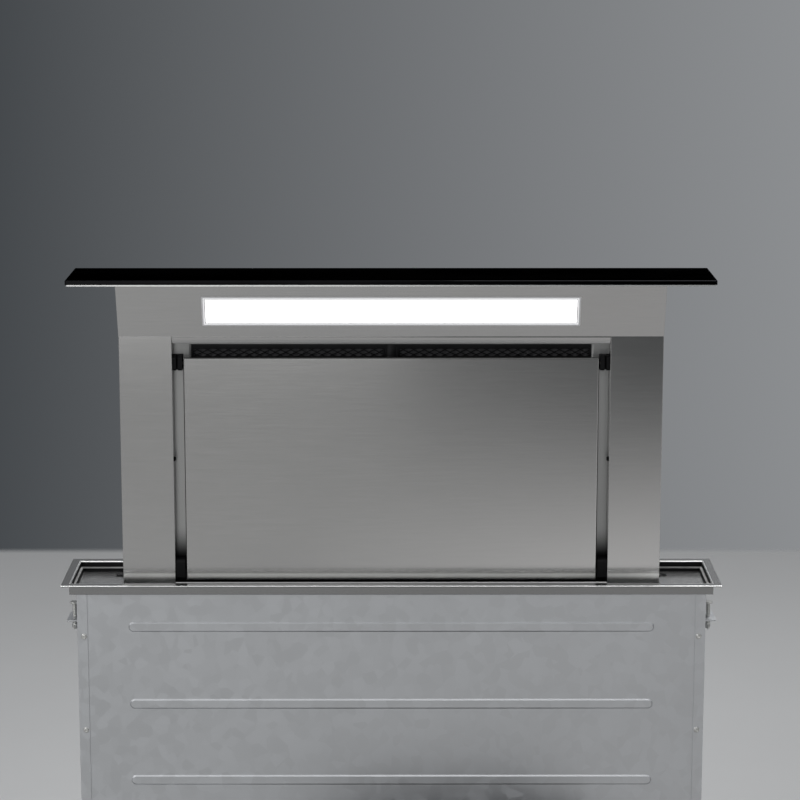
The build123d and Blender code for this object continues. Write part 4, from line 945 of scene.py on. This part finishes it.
def make_control_lid():
    """The control box's lid: a pressed field, rounded edges and a row of louvres."""
    low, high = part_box("control_lid")
    middle = (low + high) / 2
    half_x, half_z = (high.x - low.x) / 2, (high.z - low.z) / 2
    thick = high.y - low.y
    spot = facing(-Y_AXIS, Vector((middle.x, high.y, middle.z)))
    shape = bmesh.new()
    rings = []
    for inset, share in ((0, 0), (0, 0.6), (0.5, 0.8), (12.0, 0.8), (14.0, 0.5)):
        half = (half_x - inset * MM, half_z - inset * MM)
        rings.append(rounded_corners(spot, *half, max(4.0 - inset, 1.0) * MM, share * thick))
    add_rings(shape, rings)
    louvres, spacing, half_louvre = 7, 9.0 * MM, 40.0 * MM
    lowest, field = middle.z - 54.0 * MM, high.y - 0.5 * thick
    section = ((0, 0), (0.45 * thick, 0.8 * MM), (0.45 * thick, 3.0 * MM), (0, 4.5 * MM))
    for z in (lowest + i * spacing for i in range(louvres)):
        add_rings(shape, [[Vector((x, field - out, z + up)) for out, up in section]
                          for x in (middle.x - half_louvre, middle.x + half_louvre)])
    finish_piece("control_lid_panel", shape, "casing", "casing_steel", ["control_lid"])


make_casing_screws()
make_feet()
make_clamp_screws()
make_fixing_screws()
make_grease_filter("filter_left")
make_grease_filter("filter_right")
make_lamp_bezel()
make_suction_frame()
make_rail_fold()
make_panel_catches()
make_hinge_blocks()
make_tray_trims()
make_belts()
make_lift_motor()
make_gearbox_details()
make_fan_motor()
make_control_lid()


# ---------- stage: floor, world, lamps, camera ----------

FLOOR_COLOUR = (0.62, 0.625, 0.63)
FLOOR_REACH = 14.0
BACK_EDGE = (2.76, 2.82)  # where the floor ends behind the vent, on Y
FAR_EDGE = (6.0, 12.0)  # where it fades away all round
BACKDROP_LEFT = (0.050, 0.056, 0.062)
BACKDROP_RIGHT = (0.268, 0.277, 0.288)
BACKDROP_SPAN = 0.17
CEILING = (0.75, 0.76, 0.78)
CEILING_RISE = (0.12, 0.9)
SOFT_LIGHT = (0.62, 0.64, 0.66, 1.0)
SOFT_STRENGTH = 0.19
# Painted reflections: tones that only glossy rays find on the floor before the vent, laid out for
# an eye at this place.
EYE_REACH = 3.39
EYE_HEIGHT = 1.64
MIRROR_EDGE = (0.4, 0.9)
MIRROR_LEFT = ((0.310, 0.314, 0.314), (0.505, 0.510, 0.510))
MIRROR_RIGHT = ((0.045, 0.050, 0.052), (0.910, 0.910, 0.910))
MIRROR_NEAR_RIGHT = (0.500, 0.500, 0.500)
MIRROR_ACROSS = (-0.04, 0.10)
MIRROR_DOWN = (0.185, 0.280)
MIRROR_STEEP = (0.290, 0.340)
MIRROR_BEND = 1.6
# Painted reflection above that floor: a bright window wall that only glossy rays find.
FRONT_LIGHT = (0.80, 0.81, 0.82)
FRONT_RISE = (0.12, 0.30)
FRONT_TURN = (0.0, -0.3)


def mix_shaders(tree, factor, first, second):
    inputs = {0: factor, 1: first, 2: second}
    return add_node(tree, "ShaderNodeMixShader", inputs).outputs[0]


def glossy_ray(tree):
    return add_node(tree, "ShaderNodeLightPath").outputs["Is Glossy Ray"]


def seen_ray(tree):
    """1 for rays that show the backdrop: from the camera, or by way of metal or glass."""
    path = add_node(tree, "ShaderNodeLightPath").outputs
    first = combine(tree, "MAXIMUM", path["Is Camera Ray"], path["Is Glossy Ray"])
    return combine(tree, "MAXIMUM", first, path["Is Transmission Ray"])


def painted_mirror_tone(tree, across, depth):
    """Painted reflection tones: even and pale to the left, darkening with distance to the right."""
    down = combine(tree, "DIVIDE", EYE_HEIGHT, depth)
    near = spread(tree, down, 0.0, 1.0, *MIRROR_DOWN)
    bent = combine(tree, "POWER", near, MIRROR_BEND)
    left = blend(tree, near, *MIRROR_LEFT)
    right = blend(tree, bent, *MIRROR_RIGHT)
    right = blend(tree, fade(tree, down, MIRROR_STEEP), right, MIRROR_NEAR_RIGHT)
    return mottle(tree, across, left, right, 1.0, *MIRROR_ACROSS)


def painted_floor(tree, shader):
    """Pale paint. Where it ends, seen rays find the backdrop, and polished fronts find painted
    reflection tones before it.
    """
    place = own_place(tree)
    distance = add_node(tree, "ShaderNodeVectorMath", {0: place}, operation="LENGTH")
    distance = distance.outputs["Value"]
    spots = add_node(tree, "ShaderNodeSeparateXYZ", {0: place}).outputs
    cloud = add_noise(tree, 2.0, 3.0)
    painted = mottle(tree, cloud, FLOOR_COLOUR, shade(FLOOR_COLOUR, 1.03))
    fill(tree, shader, {"Base Color": painted, "Roughness": 0.8})

    behind = fade(tree, spots["Y"], BACK_EDGE)
    away = combine(tree, "MAXIMUM", behind, fade(tree, distance, FAR_EDGE))
    shown = multiply(tree, away, seen_ray(tree))
    backdrop = add_node(tree, "ShaderNodeBsdfTransparent").outputs[0]
    plain = mix_shaders(tree, shown, shader.outputs[0], backdrop)

    depth = combine(tree, "ADD", combine(tree, "ABSOLUTE", spots["Y"]), EYE_REACH)
    across = combine(tree, "DIVIDE", spots["X"], depth)
    tone = painted_mirror_tone(tree, across, depth)
    painted_reflection = add_node(tree, "ShaderNodeEmission", {"Color": tone}).outputs[0]
    in_front = combine(tree, "LESS_THAN", spots["Y"], 0.0)
    by_mirror = multiply(tree, in_front, glossy_ray(tree), fade(tree, distance, MIRROR_EDGE))
    whole = mix_shaders(tree, by_mirror, plain, painted_reflection)
    fill(tree, tree.nodes["Material Output"], {"Surface": whole})


def make_floor():
    """A pale floor, which ends at the slate backdrop behind the vent and fades away far out."""
    shape = bmesh.new()
    bmesh.ops.create_circle(shape, cap_ends=True, segments=96, radius=FLOOR_REACH)
    mesh = bpy.data.meshes.new("floor")
    shape.to_mesh(mesh)
    shape.free()
    mesh.materials.append(make_material("floor", painted_floor))
    floor = add_object("floor", mesh)
    floor.location.z = -0.3 * MM


def make_world():
    """A slate wall, darker to the left, under a pale ceiling, and soft light for other rays."""
    world = bpy.data.worlds.new("studio")
    bpy.context.scene.world = world
    world.use_nodes = True
    tree = world.node_tree
    soft = tree.nodes["Background"]
    fill(tree, soft, {"Color": SOFT_LIGHT, "Strength": SOFT_STRENGTH})
    direction = add_node(tree, "ShaderNodeTexCoord").outputs["Generated"]
    aim = add_node(tree, "ShaderNodeSeparateXYZ", {0: direction}).outputs
    sideways = multiply(tree, aim["X"], aim["Y"])
    wall = mottle(tree, sideways, BACKDROP_LEFT, BACKDROP_RIGHT, 1.0, -BACKDROP_SPAN, BACKDROP_SPAN)
    tone = mottle(tree, aim["Z"], wall, CEILING, 1.0, *CEILING_RISE)
    rising, forward = fade(tree, aim["Z"], FRONT_RISE), fade(tree, aim["Y"], FRONT_TURN)
    # A bright window wall that only glossy rays find: a painted reflection.
    tone = blend(tree, multiply(tree, rising, forward, glossy_ray(tree)), tone, FRONT_LIGHT)
    backdrop = add_node(tree, "ShaderNodeBackground", {"Color": tone}).outputs[0]
    whole = mix_shaders(tree, seen_ray(tree), soft.outputs[0], backdrop)
    fill(tree, tree.nodes["World Output"], {"Surface": whole})


# Each lamp's place, aim, size and watts.
LAMPS = {
    "softbox": ((-1.5, -5.6, 1.0), (-0.4, 0, 0.8), (3.2, 1.6), 16),
    "key": ((-2.6, -2.4, 2.8), (-0.2, -0.2, 0.5), (1.8, 1.8), 36),
    "top": ((0.2, 0.5, 3.1), (0, 0, 0.9), (2.2, 1.6), 45),
    "back": ((1.6, 2.2, 3.2), (0, 0, 0.6), (1.6, 1.2), 22),
}


def make_lamps():
    for name, (place, target, size, watts) in LAMPS.items():
        light = bpy.data.lights.new(name, "AREA")
        light.shape = "RECTANGLE"
        light.size, light.size_y = size
        light.energy = watts
        lamp = add_object(name, light)
        lamp.location = place
        aim = Vector(target) - Vector(place)
        lamp.rotation_euler = aim.to_track_quat("-Z", "Y").to_euler()
        lamp.visible_camera = False


def make_camera():
    """Stands where the photograph was taken, found from the corners of tray, head and lid."""
    place, pitch, yaw = (0.0069, -3.2649, 1.642), 0.1848, 0.0015
    focal_px, shift_px, image_px = 2500.0, -50.0, 800.0
    camera = bpy.data.cameras.new("camera")
    camera.sensor_width = 36.0
    camera.lens = focal_px / image_px * camera.sensor_width
    camera.shift_y = shift_px / image_px
    camera.dof.use_dof = False
    eye = add_object("camera", camera)
    eye.location = place
    eye.rotation_euler = (pi / 2 - pitch, 0, -yaw)
    bpy.context.scene.camera = eye


make_floor()
make_world()
make_lamps()
make_camera()
view = bpy.context.scene.view_settings
view.view_transform = "Standard"
